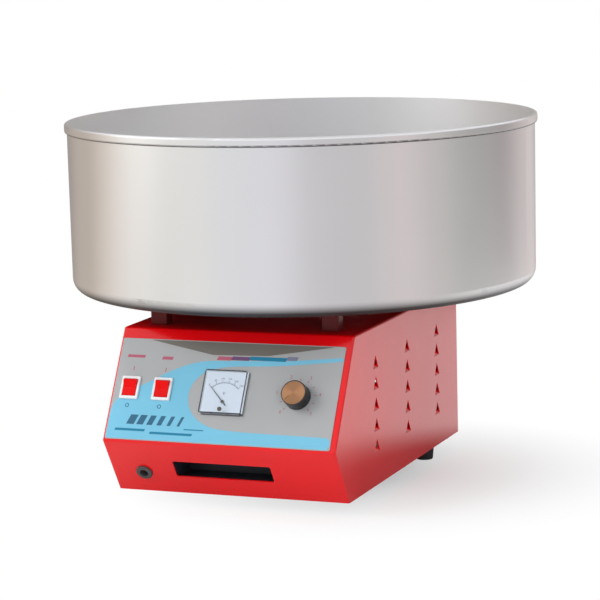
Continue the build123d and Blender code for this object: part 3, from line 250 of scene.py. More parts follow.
GROUP_MAKERS = {
    "Tone drift": make_tone_drift,
    "Handled gloss": make_handled_gloss,
    "Rubbed edge": make_rubbed_edge,
    "Fine skin": make_fine_skin,
    "Lathe lines": make_lathe_lines,
}


def place_group(tree, name, **values):
    """A shared effect in a material, with this material's own values."""
    if name not in bpy.data.node_groups:
        GROUP_MAKERS[name]()
    node = tree.nodes.new("ShaderNodeGroup")
    node.node_tree = bpy.data.node_groups[name]
    for label, value in values.items():
        node.inputs[label.replace("_", " ")].default_value = value
    return node


# ------------------------------------------------------------------ materials
def new_material(name):
    """A new material, its node tree and its shader."""
    material = bpy.data.materials.new(name)
    material.use_nodes = True
    tree = material.node_tree
    return material, tree, tree.nodes["Principled BSDF"]


def finish(
    name, colour, roughness, metallic=0.0, drift=0.05, drift_scale=9.0, handled=0.06, skin=0.00002, skin_scale=500.0,
    rub=0.0, rub_width=0.0012, rub_colour=(0.6, 0.6, 0.6), coat=0.0, coat_roughness=0.08, specular=0.5
):
    """A solid finish: drifting colour, wandering gloss, a fine skin and rubbed edges."""
    material, tree, shader = new_material(name)
    shader.inputs["Metallic"].default_value = metallic
    shader.inputs["Specular IOR Level"].default_value = specular
    shader.inputs["Coat Weight"].default_value = coat
    shader.inputs["Coat Roughness"].default_value = coat_roughness
    tone = place_group(tree, "Tone drift", Colour=(*colour, 1.0), Spread=drift, Scale=drift_scale)
    surface = tone.outputs["Colour"]
    if rub:
        mask = place_group(tree, "Rubbed edge", Width=rub_width, Amount=rub).outputs["Mask"]
        surface = blend_colour(tree, mask, surface, (*rub_colour, 1.0))
    tree.links.new(surface, shader.inputs["Base Color"])
    gloss = place_group(tree, "Handled gloss", Roughness=roughness, Spread=handled, Scale=30.0)
    tree.links.new(gloss.outputs["Roughness"], shader.inputs["Roughness"])
    if skin:
        grain = place_group(tree, "Fine skin", Scale=skin_scale).outputs["Height"]
        tree.links.new(relief(tree, grain, skin), shader.inputs["Normal"])
    return material


def turned_finish(
    name, colour, roughness, centre, axis, lines, line_depth, anisotropy, drift=0.04, streaks=0.5, wander=0.04,
    waves=0.0
):
    """Bare metal spun or turned round an axis, with its highlight drawn across the lines."""
    material, tree, shader = new_material(name)
    shader.inputs["Metallic"].default_value = 1.0
    shader.inputs["Anisotropic"].default_value = anisotropy
    shader.inputs["Anisotropic Rotation"].default_value = 0.25
    tone = place_group(tree, "Tone drift", Colour=(*colour, 1.0), Spread=drift, Scale=4.0)
    turned = place_group(tree, "Lathe lines", Centre=centre, Axis=axis, Lines_per_metre=lines, Streaks=streaks)
    # The scratches are a little brighter than the metal
    scored = maths(tree, "MULTIPLY", turned.outputs["Mask"], 0.35 * streaks)
    bright = (*[min(1.0, part * 1.12) for part in colour], 1.0)
    tree.links.new(blend_colour(tree, scored, tone.outputs["Colour"], bright), shader.inputs["Base Color"])
    gloss = place_group(tree, "Handled gloss", Roughness=roughness, Spread=wander, Scale=9.0)
    tree.links.new(gloss.outputs["Roughness"], shader.inputs["Roughness"])
    swell = None
    if waves:
        slow = place_group(tree, "Lathe lines", Centre=centre, Axis=axis, Lines_per_metre=0.1 * lines, Streaks=0.0)
        swell = relief(tree, slow.outputs["Height"], waves)
    tree.links.new(relief(tree, turned.outputs["Height"], line_depth, swell), shader.inputs["Normal"])
    # The direction of the lines: round the axis
    place = tree.nodes.new("ShaderNodeNewGeometry").outputs["Position"]
    away = vector_maths(tree, "SUBTRACT", place, centre)
    tree.links.new(vector_maths(tree, "CROSS_PRODUCT", axis, away), shader.inputs["Tangent"])
    return material


def dress(names, material):
    """Gives CAD nodes a finish in place of their plain one."""
    for name in names:
        for slot in NODES[name].material_slots:
            slot.material = material


# --------------------------------------------------------------------- pieces
def add_piece(name, mesh, material, body):
    """A new piece that rides on a body of the frame."""
    piece = bpy.data.objects.new(name, mesh)
    bpy.context.scene.collection.objects.link(piece)
    mesh.materials.append(material)
    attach(piece, body)


def panel_frame(lean):
    """The face of the control panel: X across, Y up from its lower edge, Z out of it. Metres."""
    low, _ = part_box("facia_plate")
    thickness = 0.8 * MM
    up = Vector((0.0, math.sin(lean), math.cos(lean)))
    out = Vector((0.0, -math.cos(lean), math.sin(lean)))
    corner = Vector((0.0, low[1], low[2] + thickness * math.sin(lean)))
    return Matrix(
        (
            (1.0, 0.0, 0.0, corner.x),
            (0.0, up.y, out.y, corner.y),
            (0.0, up.z, out.z, corner.z),
            (0.0, 0.0, 0.0, 1.0),
        )
    )


def close_mesh(name, shape):
    """Turns a finished bmesh into a mesh."""
    mesh = bpy.data.meshes.new(name)
    shape.to_mesh(mesh)
    shape.free()
    return mesh


def rounded_corners(points, radius, steps=5):
    """The outline with each corner turned into a short arc."""
    result = []
    count = len(points)
    for index, corner in enumerate(points):
        here = Vector(corner)
        before = Vector(points[index - 1]) - here
        after = Vector(points[(index + 1) % count]) - here
        reach = min(radius, before.length / 2, after.length / 2)
        start = here + before.normalized() * reach
        end = here + after.normalized() * reach
        for step in range(steps + 1):
            t = step / steps
            result.append(tuple((1 - t) ** 2 * start + 2 * t * (1 - t) * here + t**2 * end))
    return result


def around(centre, radius, angle):
    """A point round a centre, at an angle in degrees."""
    turn = math.radians(angle)
    return centre[0] + radius * math.cos(turn), centre[1] + radius * math.sin(turn)


def ring_sector(centre, inner, outer, start, end, steps=48):
    """Part of a flat ring, from one angle to another in degrees."""
    angles = [start + (end - start) * step / steps for step in range(steps + 1)]
    out = [around(centre, outer, angle) for angle in angles]
    return out + [around(centre, inner, angle) for angle in reversed(angles)]


def radial_mark(centre, inner, outer, width, angle):
    """A short straight mark that points at a centre, at an angle in degrees."""
    turn = math.radians(angle)
    along = Vector((math.cos(turn), math.sin(turn)))
    side = Vector((-along.y, along.x)) * width / 2
    middle = Vector(centre)
    corners = (
        middle + along * inner - side,
        middle + along * outer - side,
        middle + along * outer + side,
        middle + along * inner + side,
    )
    return [tuple(corner) for corner in corners]


def slanted_bar(x, y, width, height, slant):
    """A bar with slanted ends."""
    return [(x, y), (x + width, y), (x + width + slant, y + height), (x + slant, y + height)]


def rectangle(left, low, right, high):
    """An upright rectangle."""
    return [(left, low), (right, low), (right, high), (left, high)]


def film(name, outlines, place, low, high):
    """Flat films of ink or sheet: outlines in millimetres on a plane, from one height to another."""
    shape = bmesh.new()
    for outline in outlines:
        top = [shape.verts.new(Vector((x, y, high)) * MM) for x, y in outline]
        bottom = [shape.verts.new(Vector((x, y, low)) * MM) for x, y in outline]
        shape.faces.new(top)
        shape.faces.new(list(reversed(bottom)))
        for index in range(len(outline)):
            after = (index + 1) % len(outline)
            shape.faces.new((bottom[index], bottom[after], top[after], top[index]))
    bmesh.ops.recalc_face_normals(shape, faces=shape.faces)
    shape.transform(place)
    return close_mesh(name, shape)


def figures(name, marks, place, high):
    """Plain figures as thin ink. A mark is its text, its middle across and up, and its height, in millimetres."""
    thick = 0.03
    shape = bmesh.new()
    for text, x, y, tall in marks:
        curve = bpy.data.curves.new(name, "FONT")
        curve.body = text
        curve.align_x = "CENTER"
        curve.align_y = "CENTER"
        curve.size = tall * FONT_SIZE * MM
        curve.extrude = thick * MM
        curve.resolution_u = 3
        holder = bpy.data.objects.new(name, curve)
        bpy.context.scene.collection.objects.link(holder)
        depsgraph = bpy.context.evaluated_depsgraph_get()
        inked = bpy.data.meshes.new_from_object(holder.evaluated_get(depsgraph))
        inked.transform(place @ Matrix.Translation(Vector((x, y, high - thick)) * MM))
        shape.from_mesh(inked)
        bpy.data.objects.remove(holder)
        bpy.data.curves.remove(curve)
        bpy.data.meshes.remove(inked)
    bmesh.ops.remove_doubles(shape, verts=shape.verts, dist=1e-7)
    return close_mesh(name, shape)


# ----------------------------------------------------------------- properties
def length(name, description, default):
    return FloatProperty(name=name, description=description, default=default, subtype="DISTANCE", unit="LENGTH")


def share(name, description, default):
    return FloatProperty(name=name, description=description, default=default, min=0.0, max=1.0, subtype="FACTOR")


def paint(name, description, default):
    return FloatVectorProperty(
        name=name, description=description, default=default, size=3, min=0.0, max=1.0, subtype="COLOR"
    )


def power(name, description, default):
    return FloatProperty(name=name, description=description, default=default, subtype="POWER")


class BowlFinish(bpy.types.PropertyGroup):
    metal: paint("Aluminium", "Colour of the spun aluminium", (0.91, 0.905, 0.90))
    roughness: share("Roughness", "How satin the bowl is", 0.30)
    inside_roughness: share("Inside roughness", "How satin the scoured inside is", 0.55)
    # Painted shade: the bowl's bottom is darkened in colour to stand in for the shade beneath it
    underside: paint("Underside shade", "Colour of the dull underside", (0.10, 0.09, 0.09))
    anisotropy: share("Drawn highlight", "How far the spinning lines draw the highlight out", 0.55)
    line_depth: length("Line depth", "Depth of the spinning lines", 0.000012)
    lines_per_metre: FloatProperty(name="Lines", description="Spinning lines in a metre", default=900.0)


class CaseFinish(bpy.types.PropertyGroup):
    enamel: paint("Enamel", "Colour of the stoved enamel", (0.83, 0.0, 0.003))
    worn_enamel: paint("Worn enamel", "Colour of the enamel where it is rubbed thin", (0.82, 0.06, 0.05))
    # Painted shade: the posts' red enamel is darkened to stand in for the shade under the bowl
    post: paint("Post shade", "Dark red of the bowl posts", (0.13, 0.003, 0.003))
    roughness: share("Roughness", "Gloss of the enamel", 0.22)
    clear_coat: share("Clear coat", "How much clear coat lies on the enamel", 0.80)


class PanelPrint(bpy.types.PropertyGroup):
    lean: FloatProperty(
        name="Lean",
        description="How far the panel leans back from upright",
        default=math.radians(30.19),
        subtype="ANGLE",
    )
    ground: paint("Ground", "Grey of the printed overlay", (0.40, 0.41, 0.41))
    sky: paint("Light blue", "Light blue of the printed fields", (0.19, 0.54, 0.73))
    deep: paint("Deep blue", "Deep blue of the accents", (0.01, 0.20, 0.34))
    navy: paint("Navy", "Dark blue of the stripes", (0.03, 0.13, 0.22))
    plum: paint("Plum", "Plum part of the accent bar", (0.15, 0.07, 0.17))
    slate: paint("Slate", "Slate part of the accent bar", (0.20, 0.21, 0.30))
    rose: paint("Rose", "Muted red of the small marks", (0.46, 0.11, 0.17))
    # Painted shadow: warm grey laid where the bowl's shadow falls across the top of the panel
    shade: paint("Bowl shadow", "Darker warm grey of the upper field", (0.17, 0.155, 0.135))
    ink: length("Ink", "Thickness of the ink", 0.00006)


class MeterFace(bpy.types.PropertyGroup):
    centre_x: length("Centre across", "Middle of the meter across the panel", -0.001)
    centre_up: length("Centre up", "Middle of the meter above the panel's lower edge", 0.0555)
    pivot_drop: length("Pivot drop", "Pivot of the pointer below the middle", 0.010)
    scale_radius: length("Scale radius", "Radius of the scale's arc", 0.0205)
    divisions: IntProperty(name="Divisions", description="Main divisions of the scale", default=5)
    face: paint("Face", "White of the dial", (0.66, 0.73, 0.82))
    ink: paint("Ink", "Ink of the scale", (0.06, 0.09, 0.16))


class KnobFinish(bpy.types.PropertyGroup):
    centre_x: length("Centre across", "Middle of the knob across the panel", 0.080)
    centre_up: length("Centre up", "Middle of the knob above the panel's lower edge", 0.0555)
    brass: paint("Brass", "Colour of the turned brass", (0.46, 0.24, 0.125))
    skirt: paint("Skirt", "Colour of the moulded skirt", (0.012, 0.012, 0.014))


class StudioLight(bpy.types.PropertyGroup):
    key_power: power("Key power", "Power of the main soft lamp", 32.0)
    box_power: power("Box power", "Power of the lamp seen in metal", 7.5)
    fill_power: power("Fill power", "Power of the lamp on the right", 11.5)
    top_power: power("Top power", "Power of the lamp overhead", 22.0)
    world_level: FloatProperty(name="Room level", description="Level of the studio's own light", default=0.56)
    floor: paint("Floor", "Colour of the pale floor", (0.92, 0.92, 0.92))


def settings(name):
    """One of the add-on's property groups."""
    return getattr(bpy.context.scene, "floss_" + name)


# ---------------------------------------------------------------------- stage
CAMERA_TURN = math.radians(21.4719)
CAMERA_RISE = math.radians(8.9547)
CAMERA_ROLL = math.radians(-1.4519)
CAMERA_AIM = Vector((0.0, 0.0, 0.22))
CAMERA_DISTANCE = 2.78554
CAMERA_SLIDE = (-0.0048838, -0.032213)
CAMERA_LENS = 150.19

# Each lamp's place, width, property that holds its power, and whether gloss mirrors it
LAMPS = {
    "key lamp": ((-1.95, -1.60, 1.60), 1.8, "key_power", False),
    "soft box": ((-2.15, -1.30, 1.30), 2.2, "box_power", True),
    "fill lamp": ((1.75, -2.20, 0.75), 1.2, "fill_power", False),
    "top lamp": ((-0.1, 0.0, 2.4), 1.2, "top_power", False),
}
LAMP_AIM = Vector((0.0, 0.0, 0.2))

FLOOR_REACH = 30.0
SHADOW_MIDDLE = (0.10, -0.02, 0.0)
# Middle of a painted pool of light in the floor, which only gloss sees
LIGHT_POOL_MIDDLE = (0.36, 0.50, 0.0)
WHITE = (1.0, 1.0, 1.0, 1.0)
# Painted shade under the bowl, in the floor as gloss sees it
SHADE_UNDER_THE_BOWL = (0.10, 0.09, 0.09, 1.0)
HIGH_WALL = (1.10, 1.12, 1.18, 1.0)
OVERHEAD = (0.72, 0.72, 0.74, 1.0)

# The studio all round: turn from the front towards the right, in degrees, and the light from there
ROOM_LIGHT = (
    (-180, (0.50, 0.48, 0.46)),
    (-150, (0.37, 0.34, 0.32)),
    (-133, (0.35, 0.31, 0.29)),
    (-114, (0.50, 0.44, 0.39)),
    (-100, (0.49, 0.42, 0.36)),
    (-88, (0.65, 0.58, 0.52)),
    (-76, (0.79, 0.73, 0.68)),
    (-62, (0.78, 0.76, 0.73)),
    (-46, (0.74, 0.73, 0.71)),
    (-30, (0.81, 0.80, 0.78)),
    (-12, (0.76, 0.77, 0.80)),
    (8, (0.76, 0.75, 0.79)),
    (28, (0.60, 0.59, 0.61)),
    (48, (0.58, 0.57, 0.58)),
    (68, (0.69, 0.62, 0.63)),
    (86, (0.54, 0.52, 0.51)),
    (106, (0.40, 0.40, 0.39)),
    (132, (0.36, 0.33, 0.33)),
    (152, (0.58, 0.52, 0.52)),
    (168, (0.70, 0.64, 0.63)),
    (180, (0.50, 0.48, 0.46)),
)


class FLOSS_OT_set_stage(bpy.types.Operator):
    """Lays the pale floor, hangs the lamps and places the camera"""

    bl_idname = "floss.set_stage"
    bl_label = "Set the Stage"

    def execute(self, context):
        light = settings("light")
        self.place_camera(context.scene)
        self.lay_floor(context.scene, light)
        self.light_room(context.scene, light)
        self.hang_lamps(context.scene, light)
        context.scene.view_settings.view_transform = "Standard"
        return {"FINISHED"}

    def place_camera(self, scene):
        level = math.cos(CAMERA_RISE)
        back = Vector((math.sin(CAMERA_TURN) * level, -math.cos(CAMERA_TURN) * level, math.sin(CAMERA_RISE)))
        right = (-back).cross(Vector(UPRIGHT)).normalized()
        up = right.cross(-back)
        across = right * math.cos(CAMERA_ROLL) + up * math.sin(CAMERA_ROLL)
        over = -right * math.sin(CAMERA_ROLL) + up * math.cos(CAMERA_ROLL)
        place = CAMERA_AIM + back * CAMERA_DISTANCE + across * CAMERA_SLIDE[0] + over * CAMERA_SLIDE[1]
        lens = bpy.data.cameras.new("photo camera")
        lens.lens = CAMERA_LENS
        lens.clip_end = 100.0
        camera = bpy.data.objects.new("photo camera", lens)
        scene.collection.objects.link(camera)
        camera.matrix_world = Matrix(
            (
                (across.x, over.x, back.x, place.x),
                (across.y, over.y, back.y, place.y),
                (across.z, over.z, back.z, place.z),
                (0.0, 0.0, 0.0, 1.0),
            )
        )
        scene.camera = camera

    def lay_floor(self, scene, light):
        shape = bmesh.new()
        bmesh.ops.create_grid(shape, x_segments=8, y_segments=8, size=FLOOR_REACH)
        mesh = close_mesh("studio_floor", shape)
        floor = bpy.data.objects.new("studio_floor", mesh)
        scene.collection.objects.link(floor)
        material, tree, shader = new_material("Pale floor")
        shader.inputs["Base Color"].default_value = (*light.floor, 1.0)
        shader.inputs["Roughness"].default_value = 0.7
        shader.inputs["Specular IOR Level"].default_value = 0.2
        glow = tree.nodes.new("ShaderNodeEmission")
        path = tree.nodes.new("ShaderNodeLightPath")
        seen = maths(tree, "MAXIMUM", path.outputs["Is Camera Ray"], path.outputs["Is Glossy Ray"])
        seen = maths(tree, "MAXIMUM", seen, path.outputs["Is Transmission Ray"])
        # The machine's shadow lies to its right; away from there the paper is plain white
        near = spread_range(tree, self.distance_from(tree, SHADOW_MIDDLE), 0.03, 0.30, 0.45, 1.0)
        # Gloss sees the bands in the floor too, a painted pool of light behind on the right, and painted shade under
        # the bowl
        bands, _ = self.room_colour(tree, object_place(tree))
        light_pool = spread_range(tree, self.distance_from(tree, LIGHT_POOL_MIDDLE), 0.50, 0.80, 1.0, 0.0)
        open_floor = blend_colour(tree, light_pool, bands, WHITE)
        beyond = spread_range(tree, self.distance_from(tree, MIDDLE), 0.20, 0.30, 0.0, 1.0)
        mirrored = blend_colour(tree, beyond, SHADE_UNDER_THE_BOWL, open_floor)
        tree.links.new(blend_colour(tree, path.outputs["Is Glossy Ray"], WHITE, mirrored), glow.inputs["Color"])
        mixed = tree.nodes.new("ShaderNodeMixShader")
        tree.links.new(maths(tree, "MULTIPLY", seen, near), mixed.inputs["Fac"])
        tree.links.new(shader.outputs["BSDF"], mixed.inputs[1])
        tree.links.new(glow.outputs["Emission"], mixed.inputs[2])
        tree.links.new(mixed.outputs["Shader"], tree.nodes["Material Output"].inputs["Surface"])
        mesh.materials.append(material)

    def light_room(self, scene, light):
        world = bpy.data.worlds.new("Studio")
        scene.world = world
        world.use_nodes = True
        tree = world.node_tree
        room = tree.nodes["Background"]
        seen = tree.nodes.new("ShaderNodeLightPath")
        mirrored = maths(tree, "MAXIMUM", seen.outputs["Is Glossy Ray"], seen.outputs["Is Transmission Ray"])
        strength = maths(tree, "MULTIPLY_ADD", mirrored, 1.0 - light.world_level, light.world_level)
        tree.links.new(strength, room.inputs["Strength"])
        bands, height = self.room_colour(tree, tree.nodes.new("ShaderNodeTexCoord").outputs["Generated"])
        # Brightest half way up, softer straight overhead
        ceiling = blend_colour(tree, spread_range(tree, height, 0.55, 0.9, 0.0, 1.0), HIGH_WALL, OVERHEAD)
        above = spread_range(tree, height, 0.30, 0.60, 0.0, 1.0)
        tree.links.new(blend_colour(tree, above, bands, ceiling), room.inputs["Color"])
        backdrop = tree.nodes.new("ShaderNodeBackground")
        backdrop.inputs["Color"].default_value = WHITE
        chosen = tree.nodes.new("ShaderNodeMixShader")
        tree.links.new(seen.outputs["Is Camera Ray"], chosen.inputs["Fac"])
        tree.links.new(room.outputs["Background"], chosen.inputs[1])
        tree.links.new(backdrop.outputs["Background"], chosen.inputs[2])
        tree.links.new(chosen.outputs["Shader"], tree.nodes["World Output"].inputs["Surface"])

    def distance_from(self, tree, centre):
        return vector_maths(tree, "DISTANCE", object_place(tree), centre)

    def room_colour(self, tree, direction):
        """The studio's light by the turn round the object, and how far up the direction points."""
        x, y, height = separate(tree, direction)
        turn = maths(tree, "ARCTAN2", x, maths(tree, "MULTIPLY", y, -1.0))
        place = spread_range(tree, turn, -math.pi, math.pi, 0.0, 1.0)
        ramp = tree.nodes.new("ShaderNodeValToRGB")
        ramp.color_ramp.interpolation = "EASE"
        stops = ramp.color_ramp.elements
        while len(stops) > 1:
            stops.remove(stops[-1])
        for index, (angle, colour) in enumerate(ROOM_LIGHT):
            where = (angle + 180) / 360
            stop = stops[0] if index == 0 else stops.new(where)
            stop.position = where
            stop.color = (*colour, 1.0)
        tree.links.new(place, ramp.inputs["Fac"])
        return ramp.outputs["Color"], height

    def hang_lamps(self, scene, light):
        for name, (place, width, label, mirrored) in LAMPS.items():
            lamp = bpy.data.lights.new(name, "AREA")
            lamp.shape = "DISK"
            lamp.size = width
            lamp.energy = getattr(light, label)
            holder = bpy.data.objects.new(name, lamp)
            scene.collection.objects.link(holder)
            holder.location = place
            holder.rotation_euler = (LAMP_AIM - Vector(place)).to_track_quat("-Z", "Y").to_euler()
            holder.visible_glossy = mirrored


# ----------------------------------------------------------------------- bowl
class FLOSS_OT_spin_bowl(bpy.types.Operator):
    """Gives the spun bowl its satin metal, with lines and short scratches round it"""

    bl_idname = "floss.spin_bowl"
    bl_label = "Spin the Bowl"

    def execute(self, context):
        bowl = settings("bowl")
        metal = turned_finish(
            "Spun aluminium",
            bowl.metal,
            bowl.roughness,
            MIDDLE,
            UPRIGHT,
            bowl.lines_per_metre,
            bowl.line_depth,
            bowl.anisotropy,
            drift=0.012,
            streaks=0.15,
            wander=0.015,
            waves=0.00006,
        )
        dress(["shaft_collar"], metal)
        dress(["bowl"], self.worn_sides(metal.copy(), bowl))
        return {"FINISHED"}

    def worn_sides(self, material, bowl):
        """The bowl's inside is scoured to a softer satin; its bottom is rougher, and darkened with painted shade."""
        material.name = "Scoured aluminium"
        tree = material.node_tree
        shader = tree.nodes["Principled BSDF"]
        shape = tree.nodes.new("ShaderNodeNewGeometry")
        facing, place = shape.outputs["True Normal"], object_place(tree)
        # How far a face looks away from the middle: the dot product without its upright part
        upright = maths(tree, "MULTIPLY", separate(tree, facing)[2], separate(tree, place)[2])
        outward = maths(tree, "SUBTRACT", vector_maths(tree, "DOT_PRODUCT", facing, place), upright)
        inside = spread_range(tree, outward, -0.10, 0.0, 1.0, 0.0)
        # The smooth normal carries the painted shade and the extra roughness up the rounded corner
        under = spread_range(tree, separate(tree, shape.outputs["Normal"])[2], -0.70, -0.05, 1.0, 0.0)
        gloss = shader.inputs["Roughness"].links[0].from_socket
        softer = maths(tree, "MULTIPLY_ADD", inside, bowl.inside_roughness - bowl.roughness, gloss)
        dull = 0.2
        tree.links.new(maths(tree, "MULTIPLY_ADD", under, dull, softer), shader.inputs["Roughness"])
        # Painted shade: faces that look down take the dark shade colour in place of the bright metal
        bright = shader.inputs["Base Color"].links[0].from_socket
        tree.links.new(blend_colour(tree, under, bright, (*bowl.underside, 1.0)), shader.inputs["Base Color"])
        return material


# ----------------------------------------------------------------------- case
class FLOSS_OT_enamel_case(bpy.types.Operator):
    """Enamels the case, the rear panel and the bowl posts"""

    bl_idname = "floss.enamel_case"
    bl_label = "Enamel the Case"

    def execute(self, context):
        case = settings("case")
        enamel = finish(
            "Stoved enamel",
            case.enamel,
            case.roughness,
            drift=0.05,
            drift_scale=5.0,
            handled=0.05,
            skin=0.00003,
            skin_scale=320.0,
            rub=0.5,
            rub_width=0.0016,
            rub_colour=case.worn_enamel,
            coat=case.clear_coat,
            coat_roughness=0.12,
            specular=0.12,
        )
        self.dull_the_top(enamel, case)
        dress(["case_shell", "rear_panel"], enamel)
        posts = ["post_front_left", "post_front_right", "post_rear_left", "post_rear_right"]
        # The posts get the red enamel darkened with painted shade, as they stand in the bowl's shade
        dress(posts, finish("Dark post enamel", case.post, 0.42, drift=0.08, skin=0.00003, coat=0.15, specular=0.2))
        return {"FINISHED"}

    def dull_the_top(self, enamel, case):
        """Under the bowl the enamel is dull: the top is never wiped."""
        tree = enamel.node_tree
        shader = tree.nodes["Principled BSDF"]
        facing = tree.nodes.new("ShaderNodeNewGeometry").outputs["True Normal"]
        top = spread_range(tree, separate(tree, facing)[2], 0.85, 0.98, 0.0, 1.0)
        coat = maths(tree, "MULTIPLY_ADD", top, -case.clear_coat, case.clear_coat)
        tree.links.new(coat, shader.inputs["Coat Weight"])
        gloss = shader.inputs["Roughness"].links[0].from_socket
        tree.links.new(maths(tree, "MULTIPLY_ADD", top, 0.5, gloss), shader.inputs["Roughness"])


# ---------------------------------------------------------------- panel print
# The panel's outlines are in millimetres, from the middle of its lower edge
SWITCH_MIDDLES = (-109.0, -72.3)
KNOB_START = 225
KNOB_SWEEP = 270
KNOB_FIGURES = 6


class FLOSS_OT_print_panel(bpy.types.Operator):
    """Prints the control panel: fields, accents, stripes and the marks round the controls"""

    bl_idname = "floss.print_panel"
    bl_label = "Print the Panel"

    def execute(self, context):
        ink = settings("panel")
        knob = settings("knob")
        place = panel_frame(ink.lean)
        ground = finish("Panel ground", ink.ground, 0.42, drift=0.03, skin=0.00001, skin_scale=900.0, coat=0.15)
        dress(["facia_plate"], ground)
        # Each film lies a little higher than the one below it; the lowest is the painted shadow of the bowl, the others
        # are ink
        shadow_film_top = ink.ink / MM
        sky_top, mark_top = 1.4 * shadow_film_top, 2.0 * shadow_film_top
        fields = {
            "panel_shade": (ink.shade, self.shade_field(), shadow_film_top),
            "panel_sky": (ink.sky, self.sky_field(), sky_top),
            "panel_accent_rose": (ink.rose, self.accent_bar(-17, 16), mark_top),
            "panel_accent_plum": (ink.plum, self.accent_bar(-1, 20), mark_top),
            "panel_accent_deep": (ink.deep, self.accent_bar(19, 41), mark_top),
            "panel_accent_slate": (ink.slate, self.accent_bar(60, 12), mark_top),
            "panel_rules": (ink.deep, self.rules(), mark_top),
            "panel_navy": (ink.navy, self.navy_marks(), mark_top),
            "panel_rose": (ink.rose, self.rose_marks(knob), mark_top),
        }
        for name, (colour, outlines, high) in fields.items():
            title = name.replace("_", " ").capitalize()
            material = finish(title, colour, 0.40, drift=0.04, skin=0.0, coat=0.12, specular=0.3)
            add_piece(name, film(name, outlines, place, -SUNK, high), material, "case")
        numbers = figures("knob_figures", self.knob_figures(knob), place, mark_top)
        add_piece("knob_figures", numbers, bpy.data.materials["Panel rose"], "case")
        return {"FINISHED"}

    def shade_field(self):
        # The painted shadow of the bowl: a wedge from the top edge, deepest in the middle
        return [rounded_corners([(-96, 111.2), (-22, 97), (40, 98.5), (112, 111.2)], 3)]

    def sky_field(self):
        """A broad foot that sweeps up round the meter into a thin band; its lower left corner stays sharp."""
        left, right, low = -126.6, 122.6, 0.8
        foot = [(left, low), (right, low), (right, 13.5), (20, 14.5), (-12, 17), (-32, 28), (-42, 45), (-41, 63)]
        sweep = [(-28, 79), (-4, 85), (56, 88), (right, 96), (right, 100), (60, 93.5), (2, 91.5), (-36, 90)]
        slope = [(-66, 78), (-96, 60), (left, 44)]
        steps = 8
        soft = rounded_corners(foot + sweep + slope, 16, steps)
        return [foot[:1] + soft[steps + 1 :]]

    def accent_bar(self, start, width):
        low = 92.3 + 0.035 * start
        return [slanted_bar(start, low, width, 4.2, 1.6)]

    def navy_marks(self):
        stripes = [slanted_bar(-106 + 11.5 * n, 17.0, 8.6 - 1.1 * n, 10.5, 4.0) for n in range(6)]
        halves = ((0, 180), (180, 360))
        rings = [ring_sector((x, 37.5), 1.5, 2.3, *half, 14) for x in SWITCH_MIDDLES for half in halves]
        return stripes + rings

    def rules(self):
        places = ((-118, 9.6, 34, 2.6, 0.8), (-78, 7.2, 48, 2.6, 0.8), (-40, 13.4, 22, 1.2, 0.4))
        return [slanted_bar(*place) for place in places]

    def rose_marks(self, knob):
        centre = (knob.centre_x / MM, knob.centre_up / MM)
        steps = 2 * (KNOB_FIGURES - 1)
        angles = [KNOB_START - KNOB_SWEEP / steps * n for n in range(steps + 1)]
        ticks = [radial_mark(centre, 17.5, 20.0, 0.7, angle) for angle in angles]
        lines = [slanted_bar(x - 0.45, 76.0, 0.9, 4.6, 0) for x in SWITCH_MIDDLES]
        bars = [slanted_bar(-119, 90.6, 20, 3.0, 0.8), slanted_bar(-79, 89.6, 12, 3.4, 0.9)]
        return ticks + lines + bars

    def knob_figures(self, knob):
        centre = (knob.centre_x / MM, knob.centre_up / MM)
        step = KNOB_SWEEP / (KNOB_FIGURES - 1)
        return [(str(n), *around(centre, 24, KNOB_START - step * n), 3.6) for n in range(KNOB_FIGURES)]


# ------------------------------------------------------------------- switches
class FLOSS_OT_fit_switches(bpy.types.Operator):
    """Finishes the two rocker switches"""

    bl_idname = "floss.fit_switches"
    bl_label = "Fit the Switches"

    def execute(self, context):
        white = finish("White moulding", (0.84, 0.85, 0.86), 0.3, drift=0.02, skin=0.00001, coat=0.2)
        red = finish(
            "Red moulding", (0.80, 0.0, 0.0), 0.34, drift=0.05, drift_scale=60, skin=0.00001, coat=0.1, specular=0.15
        )
        dress(["power_switch_body", "heat_switch_body", "terminal_block"], white)
        dress(["power_rocker", "heat_rocker"], red)
        return {"FINISHED"}


